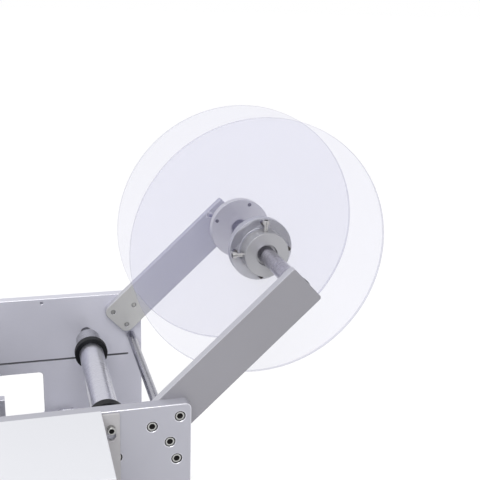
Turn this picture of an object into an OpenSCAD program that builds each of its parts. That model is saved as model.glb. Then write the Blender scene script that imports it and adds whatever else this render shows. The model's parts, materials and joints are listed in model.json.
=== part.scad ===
// Bench-top labeling machine for round bottles.
// X runs from the operator's end (-) to the label reel (+), Y from the control side (-) to the
// open side (+), Z is up. The origin is under the middle of the machine, on the bench.
// Places inside the modules are measured from the rear top corner of the control-side plate,
// on its outer face: x along the plate, y across the machine, z up.

/* [Side plates] */
// Length of each side plate
plate_len = 380; // [370:5:440]
// Height of each side plate
plate_h = 213; // [212:1:240]
// Thickness of each side plate
plate_t = 11.5; // [10.5:0.5:13]
// Clear width between the two side plates
inner_w = 258.5; // [250:0.5:300]
// Length of the high rear part of the plates
high_len = 225; // [222:1:240]
// Length of the slope in front of the high part
slope_len = 33; // [28:1:40]
// Height lost along that slope
slope_drop = 45; // [35:1:60]
// Drop from the plate top to the low front part
front_drop = 100; // [96:1:102]
// Radius of the plates' outer corners
plate_corner_r = 5; // [2:0.5:9]
// Depth of the witness groove on the inner faces
groove_depth = 0.8; // [0.4:0.1:2]
// Height of the witness groove
groove_h = 1.2; // [0.8:0.1:2]
// Distance of the groove below the plate top
groove_drop = 74.3; // [70:0.1:80]
// Distance from the rear edge to the end of the groove
groove_end = 16; // [8:1:30]

/* [Window in the open-side plate] */
// Distance from the rear edge to the window
window_back = 112.8; // [105:0.1:125]
// Distance from the plate top to the window
window_drop = 88.6; // [82:0.1:95]
// Length of the window
window_len = 50; // [46:1:52]
// Height of the window
window_h = 58; // [50:1:66]
// Distance from the rear edge to the step in the window's lower corner
step_back = 156.5; // [150:0.5:165]
// Distance from the plate top to that step
step_drop = 118.8; // [112:0.1:126]
// Corner radius of the window
window_r = 5; // [2:0.5:5.5]
// Diameter of the small hole near the plate's top
top_hole_d = 3; // [2:0.5:5]
// Distance of the small hole in front of the rear edge
top_hole_back = 111; // [105:1:150]
// Distance of the small hole below the plate top
top_hole_drop = 4.9; // [4:0.1:9]

/* [Base and feet] */
// Thickness of the base plate
base_t = 12; // [12:0.5:13]
// Set-back of the base plate at both ends
base_inset = 8; // [4:1:20]
// Height of the rubber feet
foot_h = 22; // [14:1:30]
// Diameter of the rubber feet
foot_d = 34; // [24:1:44]
// Set-back of the feet from the ends of the side plates
foot_inset = 34; // [30:1:60]

/* [Reel arms] */
// Distance of the reel shaft behind the plates' rear edge
shaft_back = 97.4; // [90:0.1:105]
// Height of the reel shaft above the plate top
shaft_up = 89.3; // [84:0.1:96]
// Angle of the arms above the horizontal
arm_angle = 43.25; // [41:0.25:45]
// Width of the arms
arm_w = 38.5; // [36:0.5:42]
// Thickness of the arms
arm_t = 9; // [7:0.5:11]
// Length of the arms below the reel shaft
arm_tail = 177; // [174:0.5:180]
// Length of the arms past the reel shaft
arm_nose = 8.1; // [7:0.1:8.5]
// Radius of the arms' lower corners
arm_foot_r = 8; // [4:0.5:10]
// Radius of the arms' free corners
arm_nose_r = 2.5; // [1:0.5:5]
// Distance of the upper arm screw from the reel shaft
arm_screw_near = 147; // [144:0.5:150]
// Distance of the lower arm screws from the reel shaft
arm_screw_far = 169; // [166:0.5:170]
// Distance of the lower arm screws from the arm's centre line
arm_screw_side = 11; // [8:0.5:12]

/* [Reel] */
// Diameter of the reel shaft
shaft_d = 16; // [12:0.5:17]
// Wall of the shaft's plastic bushes
bush_wall = 0.85; // [0.7:0.05:1.2]
// Depth of the shaft's slots in the arms
slot_depth = 6; // [4:0.5:6.5]
// Diameter of the clear reel discs
disc_d = 260; // [220:1:270]
// Thickness of the clear reel discs
disc_t = 4; // [2:0.5:6]
// Diameter of the hub flanges
flange_d = 63.5; // [58:0.5:70]
// Thickness of the hub flanges
flange_t = 8.5; // [6:0.5:10]
// Diameter of the hub bosses
boss_d = 44; // [36:1:47]
// Length of a boss past its disc
boss_len = 16; // [14:0.5:18]
// Diameter of the recess in the boss face
recess_d = 20.8; // [18.5:0.1:24]
// Depth of the recess in the boss face
recess_depth = 4; // [2:0.5:4.5]
// Radius of the ring of disc screws
disc_screw_r = 27.4; // [26:0.1:28]
// Distance of the lock screws behind the boss face
lock_in = 7; // [6.8:0.1:9]
// Inner face of the control-side flange, from the control side
near_flange_y = 138; // [120:1:150]
// Inner face of the open-side flange, from the control side
far_flange_y = 205; // [195:1:210]
// Turn of the open-side hub on the shaft
far_hub_turn = 70; // [0:5:85]

/* [Upper guide roller] */
// Distance of the roller in front of the rear edge
guide_back = 63.2; // [60:0.1:68]
// Distance of the roller below the plate top
guide_drop = 43.5; // [40:0.1:48]
// Diameter of the roller tube
guide_d = 25.5; // [25:0.5:28]
// Wall of the roller tube
guide_wall = 3.4; // [3:0.1:4]
// Length of the roller with its flanges
guide_len = 154; // [130:1:170]
// Diameter of the black end flanges
guide_flange_d = 34.5; // [31:0.5:40]
// Thickness of the black end flanges
guide_flange_t = 9; // [6:0.5:12]
// Diameter of the stop collars on the axle
collar_d = 26.4; // [20:0.1:30]
// Length of the stop collars
collar_len = 29; // [15:1:32]
// Diameter of the guide axle
guide_axle_d = 12; // [10:0.5:14]

/* [Tie rods] */
// Diameter of the tie rods
tie_d = 9.5; // [8:0.5:12]
// Distance of the upper tie rod in front of the rear edge
tie_back = 12.3; // [10:0.1:20]
// Distance of the upper tie rod below the plate top
tie_drop = 51.2; // [49:0.1:60]
// Distance of the lower tie rods above the plates' lower edge
low_tie_rise = 24; // [20:1:30]
// Distance of the rear lower tie rod in front of the rear edge
low_tie_back = 30; // [22:1:50]
// Distance of the front lower tie rod behind the front edge
low_tie_front = 62; // [58:1:70]

/* [Front guide roller] */
// Distance of the front guide roller in front of the rear edge
front_guide_back = 190; // [186:1:194]
// Distance of the front guide roller below the plate top
front_guide_drop = 46; // [42:1:50]
// Diameter of the front guide roller
front_guide_d = 25; // [22:1:28]
// Diameter of the front guide axle
front_axle_d = 10; // [8:0.5:12]
// Wall of the front guide roller
front_guide_wall = 3; // [2:0.5:4]

/* [Peel plate and label sensor] */
// Distance of the peel edge in front of the rear edge
peel_tip_back = 268; // [264:1:269]
// Distance of the peel edge below the plate top
peel_tip_drop = 89; // [86:1:90]
// Length of the peel plate along X
peel_len = 54; // [48:1:56]
// Rise of the peel plate from its edge to its back
peel_rise = 17; // [12:1:20]
// Thickness of the peel plate at its back
peel_t = 9; // [8.5:0.5:10]
// Thickness of the peel edge
peel_tip_t = 1.2; // [0.8:0.1:2]
// Diameter of the sensor's rod
sensor_rod_d = 8; // [6:0.5:9]
// Distance of the sensor's rod in front of the rear edge
sensor_back = 236; // [234:1:238]
// Distance of the sensor's rod below the plate top
sensor_drop = 54; // [52:1:56]
// Width of the sensor
sensor_w = 22; // [16:1:30]
// Length of the sensor along X
sensor_len = 18; // [14:1:20]
// Height of the sensor
sensor_h = 24; // [18:1:25]
// Place of the sensor across the machine
sensor_y = 96; // [70:1:120]

/* [Feed drive] */
// Distance of the drive roller in front of the rear edge
drive_back = 222; // [220:1:224]
// Distance of the drive roller below the plate top
drive_drop = 140; // [138:1:142]
// Diameter of the drive roller over its rubber
drive_d = 36; // [34:0.5:36]
// Thickness of the roller's rubber
rubber_t = 4; // [2:0.5:6]
// Diameter of the pinch roller
pinch_d = 26; // [22:0.5:27]
// Lean of the pinch roller behind the top of the drive roller
pinch_lean = 14; // [8:1:20]
// Distance of the pinch frame's pivot in front of the rear edge
pinch_pivot_back = 174; // [172:1:176]
// Distance of the pinch frame's pivot below the plate top
pinch_pivot_drop = 103; // [101:1:105]
// Thickness of the pinch frame's arms
pinch_arm_t = 6; // [4:0.5:8]
// Width of the pinch frame's arms
pinch_arm_w = 16; // [14:1:17]
// Diameter of the pinch frame's pivot
pinch_pivot_d = 10; // [8:0.5:11]
// Length of the pinch frame's tail
pinch_tail = 22; // [18:1:26]
// Diameter of the gear motor
motor_d = 60; // [50:1:61]
// Length of the gear motor
motor_len = 112; // [80:1:140]
// Distance of the motor shaft in front of the rear edge
motor_back = 178; // [176:1:180]
// Distance of the motor shaft below the plate top
motor_drop = 168.5; // [167:0.5:169.5]
// Radius of the ring of motor screws
motor_screw_r = 21; // [19:0.5:23]

/* [Bottle rollers] */
// Diameter of the bottle rollers
bottle_roller_d = 40; // [36:0.5:41]
// Distance of the driven bottle roller in front of the rear edge
bottle_back = 296; // [295:1:299]
// Distance between the two bottle rollers
bottle_pitch = 46; // [43:1:47]
// Distance of the bottle rollers below the plate top
bottle_drop = 114; // [113:1:117]

/* [Press arm] */
// Distance of the press arm's pivot in front of the rear edge
press_pivot_back = 214; // [212:1:216]
// Distance of the press arm's pivot below the plate top
press_pivot_drop = 15; // [14:1:18]
// Diameter of the pivot shaft
press_shaft_d = 12; // [10:0.5:12]
// Length from the pivot to the press roller
press_reach = 110; // [106:1:114]
// Length from the pivot to the handle
handle_reach = 154; // [152:1:157]
// Angle of the resting arm below the horizontal
press_angle = 21; // [19:0.5:22]
// Width of the press arms
press_arm_w = 24; // [20:1:26]
// Thickness of the press arms
press_arm_t = 8; // [6:0.5:9]
// Diameter of the press roller
press_roller_d = 34; // [28:0.5:36]
// Diameter of the handle's core
handle_core_d = 10; // [8:0.5:11]
// Diameter of the handle's grip
handle_d = 18; // [16:0.5:18]

/* [Bottle stop] */
// Diameter of the stop's rod
stop_rod_d = 8; // [6:0.5:8]
// Distance of the stop's rod behind the front edge
stop_rod_front = 9; // [8.5:0.5:10]
// Distance of the stop's rod below the plate top
stop_rod_drop = 112; // [110:1:115]
// Thickness of the stop's fence
fence_t = 6; // [4:0.5:8]
// Length of the stop's fence
fence_len = 76; // [60:1:80]
// Width of the stop's clamp block
stop_block_w = 26; // [20:1:34]
// Place of the bottle stop across the machine
stop_y = 56; // [50:1:80]
// Diameter of the stop's clamp knob
stop_knob_d = 16; // [12:1:17]
// Height of the stop's clamp knob
stop_knob_h = 12; // [9:1:13]

/* [Backing rewind] */
// Distance of the rewind spindle in front of the rear edge
rewind_back = 95; // [92:1:96]
// Distance of the rewind spindle below the plate top
rewind_drop = 150; // [147:1:151]
// Diameter of the rewind spindle
rewind_d = 28; // [22:1:32]
// Diameter of the rewind flange
rewind_flange_d = 96; // [80:1:98]
// Thickness of the rewind flange
rewind_flange_t = 3; // [2:0.5:5]
// Diameter of the liner clip's wire
clip_d = 4; // [3:0.5:5]

/* [Belts and pulleys] */
// Pitch of the timing belt's teeth
belt_pitch = 3; // [2.8:0.1:3.2]
// Teeth on the bottle roller's pulley
bottle_teeth = 40; // [36:1:42]
// Teeth on the drive roller's pulley
drive_teeth = 36; // [32:1:38]
// Teeth on the motor's pulley
motor_teeth = 20; // [18:1:24]
// Width of the timing belt
belt_w = 9; // [6:1:12]
// Thickness of the belts
belt_t = 1.6; // [1.2:0.1:2.4]
// Diameter of the motor's plain pulley for the rewind belt
rewind_drive_d = 20; // [16:1:24]
// Diameter of the rewind pulley
rewind_pulley_d = 28; // [24:1:30]
// Thickness of the pulleys' rims
rim_t = 1.5; // [1:0.5:2]

/* [Control box] */
// Thickness of the box's mounting plate
mount_t = 2.5; // [2:0.5:4]
// Distance from the rear edge to the mounting plate
mount_back = 60.3; // [58:0.1:64]
// Distance from the rear edge to the box
cover_back = 75.2; // [74:0.1:80]
// Length of the box
cover_len = 262; // [255:1:268]
// Height of the box
cover_h = 190; // [186:1:196]
// Depth of the box across the machine
cover_d = 96; // [90:1:120]
// Length of the box's flat top
cover_top_len = 150; // [146:1:156]
// Drop of the sloping control panel
panel_drop = 112; // [106:1:114]
// Thickness of the box's sheet
sheet_t = 1.5; // [1:0.5:2]

/* [Controls] */
// Width of the display window
display_w = 52; // [40:1:60]
// Height of the display window
display_h = 24; // [18:1:30]
// Thickness of the display window
display_t = 2; // [1.5:0.5:3]
// Place of the display down the panel
display_v = 30; // [26:1:34]
// Diameter of the keys
key_d = 9; // [7:0.5:11]
// Height of the keys above the panel
key_h = 3; // [2.5:0.5:4]
// Distance between the keys
key_pitch = 18; // [15:1:22]
// Place of the keys down the panel
key_v = 60; // [56:1:64]
// Travel of the keys
key_travel = 1.2; // [0.8:0.1:1.5]
// Diameter of the delay dial
dial_d = 22; // [18:1:26]
// Height of the delay dial
dial_h = 13; // [10:1:16]
// Place of the dial and the stop button down the panel
dial_v = 98; // [94:1:104]
// Distance of the dial and the stop button from the panel's middle
dial_side = 22; // [20:1:26]
// Diameter of the stop button's head
stop_head_d = 30; // [26:1:34]
// Height of the stop button's head
stop_head_h = 11; // [8:1:14]
// Travel of the stop button
stop_travel = 4; // [3:0.5:5]
// Length of the rocker switch
rocker_len = 19; // [16:1:22]
// Width of the rocker switch
rocker_w = 12; // [10:1:14]
// Width of the power inlet
inlet_w = 27; // [26:0.5:30]
// Height of the power inlet
inlet_h = 20; // [19:0.5:24]

/* [Fasteners and fits] */
// Diameter of the cap screws' heads
head_d = 8.5; // [8:0.1:9]
// Height of the cap screws' heads
head_h = 5; // [4:0.5:5]
// Diameter of the cap screws' shanks
screw_d = 5; // [4:0.1:5]
// Width across the flats of the hex sockets
hex_w = 4; // [3:0.1:4.5]
// Depth of the hex sockets
hex_depth = 2.6; // [2:0.1:3]
// Diameter of the counterbores
cbore_d = 9.2; // [9.2:0.1:10.5]
// Depth at which a cap screw's head lies under the face
head_sink = 0.7; // [0.3:0.1:1.2]
// Diameter of the small hub screws
small_screw_d = 4; // [3:0.1:4.2]
// Diameter of the lock screws' heads
small_head_d = 7; // [6:0.1:8]
// Height of the lock screws' heads
small_head_h = 4; // [3:0.1:5]
// Length of the lock screws' shanks outside the boss
lock_gap = 7; // [5:0.5:8]
// Outer diameter of the ball bearings
bearing_d = 22; // [20:0.5:23]
// Width of the ball bearings
bearing_w = 7; // [5:0.5:8]
// Diameter of the roller shafts' ends
journal_d = 8; // [6:0.5:9]
// Radial clearance of a running fit
run_fit = 0.05; // [0.02:0.01:0.09]
// Gap between parts that pass each other
side_gap = 0.5; // [0.3:0.1:1]
// Gap between soft or loosely seated faces
seat_gap = 0.3; // [0.2:0.05:0.4]

/* [Hidden] */
$fn = 96;

base_screw_shares = [0.15, 0.5, 0.85];
mount_screw_shares = [0.074, 0.5, 0.926];
front_screw_shares = [0.62, 0.8];
tab_screw_shares = [0.08, 0.5, 0.92];
chip_shares = [0.95, 0.62, 0.3];
board_share = 0.67;
board_high_share = 0.55;
flute_at_share = 0.6;
flute_share = 0.3;
skirt_share = 0.86;
crown_share = 0.78;
head_root_share = 0.8;
head_crown_share = 0.7;
pin_pitch_share = 0.2;
pointer_share = 0.25;
board_in_share = 0.18;
inlet_side_share = 0.62;
inlet_down_share = 0.79;
sensor_low_share = 0.67;
grip_share = 0.42;
gearbox_share = 0.36;
motor_can_share = 0.87;
foot_taper_share = 0.86;
shoulder_share = 1.4;
socket_share = 0.55;

// One overrun for every cut
cut = 1;
// Width over both side plates
frame_w = inner_w + 2 * plate_t;
// Inner face of the open-side plate
far_y = plate_t + inner_w;
// Place of the plates' rear top corner in the machine's frame
rear_x = (plate_len - shaft_back - disc_d / 2) / 2;
near_y = (cover_d + mount_t - frame_w) / 2;
top_z = foot_h + plate_h;

module placed() translate([rear_x, near_y, top_z]) children();
module slab(y, t) translate([0, y + t, 0]) rotate([90, 0, 0]) linear_extrude(height = t) children();
module disk(x, z, y, t, d) translate([x, y, z]) rotate([-90, 0, 0]) cylinder(h = t, d = d);

// What a rounded corner loses; sx and sz point out of the corner
module corner_waste(x, z, r, sx, sz) {
  translate([x - sx * r, z - sz * r]) difference() {
    translate([min(sx, 0) * (r + cut), min(sz, 0) * (r + cut)]) square(r + cut);
    circle(r = r);
  }
}

// Place on the arms: a along them from the reel shaft, c across them
function arm_at(a, c) = [
  shaft_back + a * cos(arm_angle) - c * sin(arm_angle),
  shaft_up + a * sin(arm_angle) + c * cos(arm_angle)
];
low_tie_z = low_tie_rise - plate_h;
base_z = base_t / 2 - plate_h;
peel_back_x = peel_len - peel_tip_back;
peel_back_z = peel_rise - peel_tip_drop;
peel_screw_in = 0.9 * peel_t;
// Depth of the tapped holes that take the frame screws
tap_depth = 3 * screw_d;
pinch_gap = (drive_d + pinch_d) / 2 + seat_gap;
pinch_x = pinch_lean - drive_back;
pinch_z = sqrt(pow(pinch_gap, 2) - pow(pinch_lean, 2)) - drive_drop;
idle_back = bottle_back + bottle_pitch;
panel_run = cover_len - cover_top_len;
panel_tilt = atan2(panel_drop, panel_run);

peel_screw_x = peel_back_x - peel_screw_in;
peel_screw_z = peel_back_z - peel_screw_in * peel_rise / peel_len - peel_t / 2;
roller_y = plate_t + arm_t;
roller_len = frame_w - 2 * roller_y;
journal_far = far_y + bearing_w - seat_gap;
pulley_w = belt_w + 2 * rim_t;
belt_start_y = -mount_t - head_h - side_gap;
belt_end_y = belt_start_y - pulley_w;
clutch_end_y = belt_end_y - pulley_w;
bottle_pitch_d = bottle_teeth * belt_pitch / PI;
drive_pitch_d = drive_teeth * belt_pitch / PI;
motor_pitch_d = motor_teeth * belt_pitch / PI;
tab_t = 2 * mount_t;
dial_stem_d = journal_d;
stop_stem_d = 2 * journal_d;
pin_d = journal_d / 2;
module_h = inlet_h + rocker_len + 2 * sheet_t;
module_depth = inlet_w;
board_len = board_share * cover_top_len;
board_h = board_high_share * cover_h;

arm_screw_places = [
  arm_at(-arm_screw_near, 0),
  arm_at(-arm_screw_far, arm_screw_side),
  arm_at(-arm_screw_far, -arm_screw_side)
];
low_rod_places = [[-low_tie_back, low_tie_z], [low_tie_front - plate_len, low_tie_z]];
pivot_places = [
  [-press_pivot_back, -press_pivot_drop],
  [-pinch_pivot_back, -pinch_pivot_drop]
];
slide_rod_places = [
  [-sensor_back, -sensor_drop],
  [stop_rod_front - plate_len, -stop_rod_drop]
];
frame_places = concat(
  [[-tie_back, -tie_drop], [-guide_back, -guide_drop]],
  [[-front_guide_back, -front_guide_drop]],
  [[peel_screw_x, peel_screw_z]],
  low_rod_places, pivot_places, slide_rod_places,
  [for (share = base_screw_shares) [-share * plate_len, base_z]]
);
journal_places = [
  [-bottle_back, -bottle_drop], [-idle_back, -bottle_drop],
  [-drive_back, -drive_drop], [-rewind_back, -rewind_drop]
];
driven_places = [
  [-bottle_back, -bottle_drop], [-drive_back, -drive_drop],
  [-rewind_back, -rewind_drop], [-motor_back, -motor_drop]
];
motor_screw_places = [
  for (turn = [45:90:315])
    [motor_screw_r * cos(turn) - motor_back, motor_screw_r * sin(turn) - motor_drop]
];
mount_screw_places = [
  for (share = mount_screw_shares)
    [-(mount_back + cover_back) / 2, -share * cover_h],
  for (share = front_screw_shares)
    [head_d + 4 * sheet_t - cover_back - cover_len, -share * cover_h]
];
// Wide clearance holes round the driven shafts
shaft_hole_d = journal_d + screw_d;

// Cap screw pointing along +Y, its head's outer face at y
module cap_screw(x, z, y, length, d = screw_d, head = head_d) {
  translate([x, y, z]) rotate([-90, 0, 0]) difference() {
    union() {
      cylinder(h = head_h, d = head);
      cylinder(h = head_h + length, d = d);
    }
    translate([0, 0, -cut])
      cylinder(h = hex_depth + cut, d = hex_w * head / head_d / cos(30), $fn = 6);
  }
}
module mirrored_side() translate([0, frame_w, 0]) mirror([0, 1, 0]) children();

module plate_outline() {
  slope_x = -high_len - slope_len;
  difference() {
    polygon([
      [0, 0], [-high_len, 0], [slope_x, -slope_drop], [slope_x, -front_drop],
      [-plate_len, -front_drop], [-plate_len, -plate_h], [0, -plate_h]
    ]);
    corner_waste(0, 0, plate_corner_r, 1, 1);
    corner_waste(0, -plate_h, plate_corner_r, 1, -1);
    corner_waste(-plate_len, -plate_h, plate_corner_r, -1, -1);
    corner_waste(-plate_len, -front_drop, plate_corner_r, -1, 1);
  }
}

// A side plate seen as the control-side one, its outer face at y = 0
module side_plate_body() {
  sunk = head_h + head_sink;
  difference() {
    slab(0, plate_t) plate_outline();
    for (place = concat(arm_screw_places, frame_places)) {
      disk(place[0], place[1], -cut, sunk + cut, cbore_d);
      disk(place[0], place[1], -cut, plate_t + 2 * cut, screw_d + 2 * run_fit);
    }
    for (place = journal_places)
      disk(place[0], place[1], plate_t - bearing_w, bearing_w + cut, bearing_d + 2 * run_fit);
    translate([-high_len, plate_t - groove_depth, -groove_drop - groove_h / 2])
      cube([high_len - groove_end, groove_depth + cut, groove_h]);
  }
}

module near_side_plate() placed() color([0.7, 0.7, 0.74]) difference() {
  side_plate_body();
  for (place = driven_places)
    disk(place[0], place[1], -cut, plate_t + 2 * cut, shaft_hole_d);
  for (place = motor_screw_places) {
    disk(place[0], place[1], -cut, head_h + head_sink + cut, cbore_d);
    disk(place[0], place[1], -cut, plate_t + 2 * cut, screw_d + 2 * run_fit);
  }
  for (place = mount_screw_places)
    disk(place[0], place[1], -cut, plate_t + 2 * cut, small_screw_d + 2 * run_fit);
}

// The window is L-shaped: the plate keeps a step in its lower front corner
module window_outline() {
  x0 = -window_back - window_len;
  z0 = -window_drop - window_h;
  difference() {
    translate([x0, z0]) square([window_len, window_h]);
    translate([x0 - cut, z0 - cut]) square([-step_back - x0 + cut, -step_drop - z0 + cut]);
    corner_waste(-window_back, -window_drop, window_r, 1, 1);
    corner_waste(-window_back, z0, window_r, 1, -1);
    corner_waste(x0, -window_drop, window_r, -1, 1);
  }
}

module far_side_plate() placed() color([0.66, 0.66, 0.7]) difference() {
  mirrored_side() side_plate_body();
  slab(far_y - cut, plate_t + 2 * cut) window_outline();
  disk(-top_hole_back, -top_hole_drop, far_y - cut, plate_t + 2 * cut, top_hole_d);
}

module base_plate() placed() color([0.7, 0.7, 0.74]) difference() {
  translate([base_inset - plate_len, plate_t, -plate_h])
    cube([plate_len - 2 * base_inset, inner_w, base_t]);
  for (share = base_screw_shares) {
    disk(-share * plate_len, base_z, plate_t - cut, tap_depth + cut, screw_d + 2 * run_fit);
    disk(-share * plate_len, base_z, far_y - tap_depth, tap_depth + cut, screw_d + 2 * run_fit);
  }
}

module rubber_feet() placed() color([0.12, 0.12, 0.12]) {
  for (x = [-foot_inset, foot_inset - plate_len], y = [plate_t + foot_inset, far_y - foot_inset])
    translate([x, y, -top_z]) difference() {
      cylinder(h = foot_h, d1 = foot_taper_share * foot_d, d2 = foot_d);
      translate([0, 0, -cut]) cylinder(h = head_h + cut, d = cbore_d);
    }
}

// Rod between the plates with tapped ends
module tapped_rod(x, z, d) difference() {
  disk(x, z, plate_t, inner_w, d);
  disk(x, z, plate_t - cut, tap_depth + cut, screw_d + 2 * run_fit);
  disk(x, z, far_y - tap_depth, tap_depth + cut, screw_d + 2 * run_fit);
}

module tie_rods() placed() color([0.55, 0.55, 0.6])
  for (place = concat([[-tie_back, -tie_drop]], low_rod_places))
    tapped_rod(place[0], place[1], tie_d);

module frame_screws() placed() color([0.35, 0.35, 0.36]) {
  reach = plate_t - head_h - head_sink + 2 * tap_depth / 3;
  for (place = frame_places) {
    cap_screw(place[0], place[1], head_sink, reach);
    mirrored_side() cap_screw(place[0], place[1], head_sink, reach);
  }
  for (place = motor_screw_places) cap_screw(place[0], place[1], head_sink, reach);
}

module arm_screws() placed() color([0.5, 0.5, 0.52]) {
  reach = plate_t + arm_t - head_h - 2 * head_sink;
  for (place = arm_screw_places) {
    cap_screw(place[0], place[1], head_sink, reach);
    mirrored_side() cap_screw(place[0], place[1], head_sink, reach);
  }
}

// An arm seen as the control-side one, against the plate's inner face
module arm_body() {
  slot_d = shaft_d + 2 * bush_wall + 4 * run_fit;
  difference() {
    translate([shaft_back, 0, shaft_up]) rotate([0, -arm_angle, 0])
      slab(plate_t, arm_t) difference() {
        translate([-arm_tail, -arm_w / 2]) square([arm_tail + arm_nose, arm_w]);
        corner_waste(-arm_tail, arm_w / 2, arm_foot_r, -1, 1);
        corner_waste(-arm_tail, -arm_w / 2, arm_foot_r, -1, -1);
        corner_waste(arm_nose, arm_w / 2, arm_nose_r, 1, 1);
        corner_waste(arm_nose, -arm_w / 2, arm_nose_r, 1, -1);
      }
    translate([shaft_back, 0, shaft_up]) rotate([0, -arm_angle, 0])
      slab(plate_t + arm_t - slot_depth, slot_depth + cut) {
        circle(d = slot_d);
        translate([0, -slot_d / 2]) square([arm_nose + cut, slot_d]);
      }
    for (place = arm_screw_places)
      disk(place[0], place[1], plate_t - cut, arm_t + 2 * cut, screw_d + 2 * run_fit);
  }
}
module near_arm() placed() color([0.61, 0.61, 0.64]) arm_body();
module far_arm() placed() color([0.66, 0.66, 0.7]) mirrored_side() arm_body();

// Split ring bushes that line the arms' slots
module bush_body() difference() {
  disk(shaft_back, shaft_up, plate_t + arm_t - slot_depth, slot_depth, shaft_d + 2 * bush_wall);
  disk(shaft_back, shaft_up, plate_t, 2 * arm_t, shaft_d + 2 * run_fit);
}
module shaft_bushes() placed() color([0.1, 0.1, 0.11]) {
  bush_body();
  mirrored_side() bush_body();
}

module reel_shaft() placed() color([0.65, 0.64, 0.68]) {
  end_y = plate_t + arm_t - slot_depth + seat_gap;
  disk(shaft_back, shaft_up, end_y, frame_w - 2 * end_y, shaft_d);
}

// Hub seen with its flange's inner face at y = 0 and its boss towards +Y, on the Y axis
hub_screw_turns = [0, 90, 180, 270];
hub_len = flange_t + disc_t + boss_len;
lock_y = hub_len - lock_in;
module hub_body() difference() {
  rotate([-90, 0, 0]) union() {
    cylinder(h = flange_t, d = flange_d);
    cylinder(h = hub_len, d = boss_d);
  }
  disk(0, 0, -cut, hub_len + 2 * cut, shaft_d + 2 * run_fit);
  for (y = [-cut, hub_len - recess_depth]) disk(0, 0, y, recess_depth + cut, recess_d);
  for (turn = hub_screw_turns) rotate([0, turn, 0])
    disk(disc_screw_r, 0, -cut, flange_t + 2 * cut, small_screw_d + 2 * run_fit);
  for (turn = [180, 270]) rotate([0, turn, 0])
    translate([0, lock_y, 0]) rotate([0, 90, 0])
      cylinder(h = boss_d, d = small_screw_d + 2 * run_fit);
}
module disc_body() difference() {
  disk(0, 0, flange_t, disc_t, disc_d);
  disk(0, 0, flange_t - cut, disc_t + 2 * cut, boss_d + 2 * run_fit);
  for (turn = hub_screw_turns) rotate([0, turn, 0])
    disk(disc_screw_r, 0, flange_t - cut, disc_t + 2 * cut, small_screw_d + 2 * run_fit);
}
module hub_screws_body() {
  socket = socket_share * small_screw_d;
  for (turn = hub_screw_turns) rotate([0, turn, 0]) difference() {
    disk(disc_screw_r, 0, seat_gap, flange_t + disc_t, small_screw_d);
    translate([disc_screw_r, flange_t + disc_t + seat_gap + cut, 0]) rotate([90, 0, 0])
      cylinder(h = socket + cut, d = socket, $fn = 6);
  }
  for (turn = [180, 270]) rotate([0, turn, 0]) translate([0, lock_y, 0]) rotate([0, 90, 0])
    difference() {
      union() {
        translate([0, 0, shaft_d / 2 + seat_gap])
          cylinder(h = (boss_d - shaft_d) / 2 + lock_gap - seat_gap, d = small_screw_d);
        translate([0, 0, boss_d / 2 + lock_gap]) cylinder(h = small_head_h, d = small_head_d);
      }
      translate([0, 0, boss_d / 2 + lock_gap + small_head_h / 2])
        cylinder(h = small_head_h, d = socket_share * small_head_d, $fn = 6);
    }
}
module near_reel_side() placed() translate([shaft_back, near_flange_y, shaft_up])
  mirror([0, 1, 0]) children();
module far_reel_side() placed() translate([shaft_back, far_flange_y, shaft_up])
  rotate([0, -far_hub_turn, 0]) children();
module near_hub() near_reel_side() color([0.68, 0.68, 0.7]) hub_body();
module near_disc() near_reel_side() color([0.92, 0.92, 0.97, 0.35]) disc_body();
module near_hub_screws() near_reel_side() color([0.4, 0.4, 0.42]) hub_screws_body();
module far_hub() far_reel_side() color([0.66, 0.66, 0.69]) hub_body();
module far_disc() far_reel_side() color([0.92, 0.92, 0.97, 0.35]) disc_body();
module far_hub_screws() far_reel_side() color([0.4, 0.4, 0.42]) hub_screws_body();

// Upper guide roller: a tube between two black flanges, held by collars on a fixed axle
guide_y = (frame_w - guide_len) / 2;
module guide_axles() placed() color([0.2, 0.2, 0.22]) {
  tapped_rod(-guide_back, -guide_drop, guide_axle_d);
  tapped_rod(-front_guide_back, -front_guide_drop, front_axle_d);
}
module guide_collars() placed() color([0.6, 0.6, 0.62])
  for (y = [guide_y - seat_gap - collar_len, guide_y + guide_len + seat_gap]) difference() {
    disk(-guide_back, -guide_drop, y, collar_len, collar_d);
    disk(-guide_back, -guide_drop, y - cut, collar_len + 2 * cut, guide_axle_d + 2 * run_fit);
  }
module guide_roller() placed() color([0.78, 0.78, 0.82]) difference() {
  disk(-guide_back, -guide_drop, guide_y, guide_len, guide_d);
  disk(-guide_back, -guide_drop, guide_y - cut, guide_len + 2 * cut, guide_d - 2 * guide_wall);
}
module guide_flanges() placed() color([0.14, 0.14, 0.15])
  for (y = [guide_y, guide_y + guide_len - guide_flange_t]) difference() {
    disk(-guide_back, -guide_drop, y, guide_flange_t, guide_flange_d);
    disk(-guide_back, -guide_drop, y - cut, guide_flange_t + 2 * cut, guide_d + 2 * run_fit);
  }

// Front guide roller: a plain tube from plate to plate
module front_guide_roller() placed() color([0.78, 0.78, 0.82]) difference() {
  disk(-front_guide_back, -front_guide_drop, roller_y, roller_len, front_guide_d);
  disk(-front_guide_back, -front_guide_drop, roller_y - cut, roller_len + 2 * cut,
       front_guide_d - 2 * front_guide_wall);
}

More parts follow.
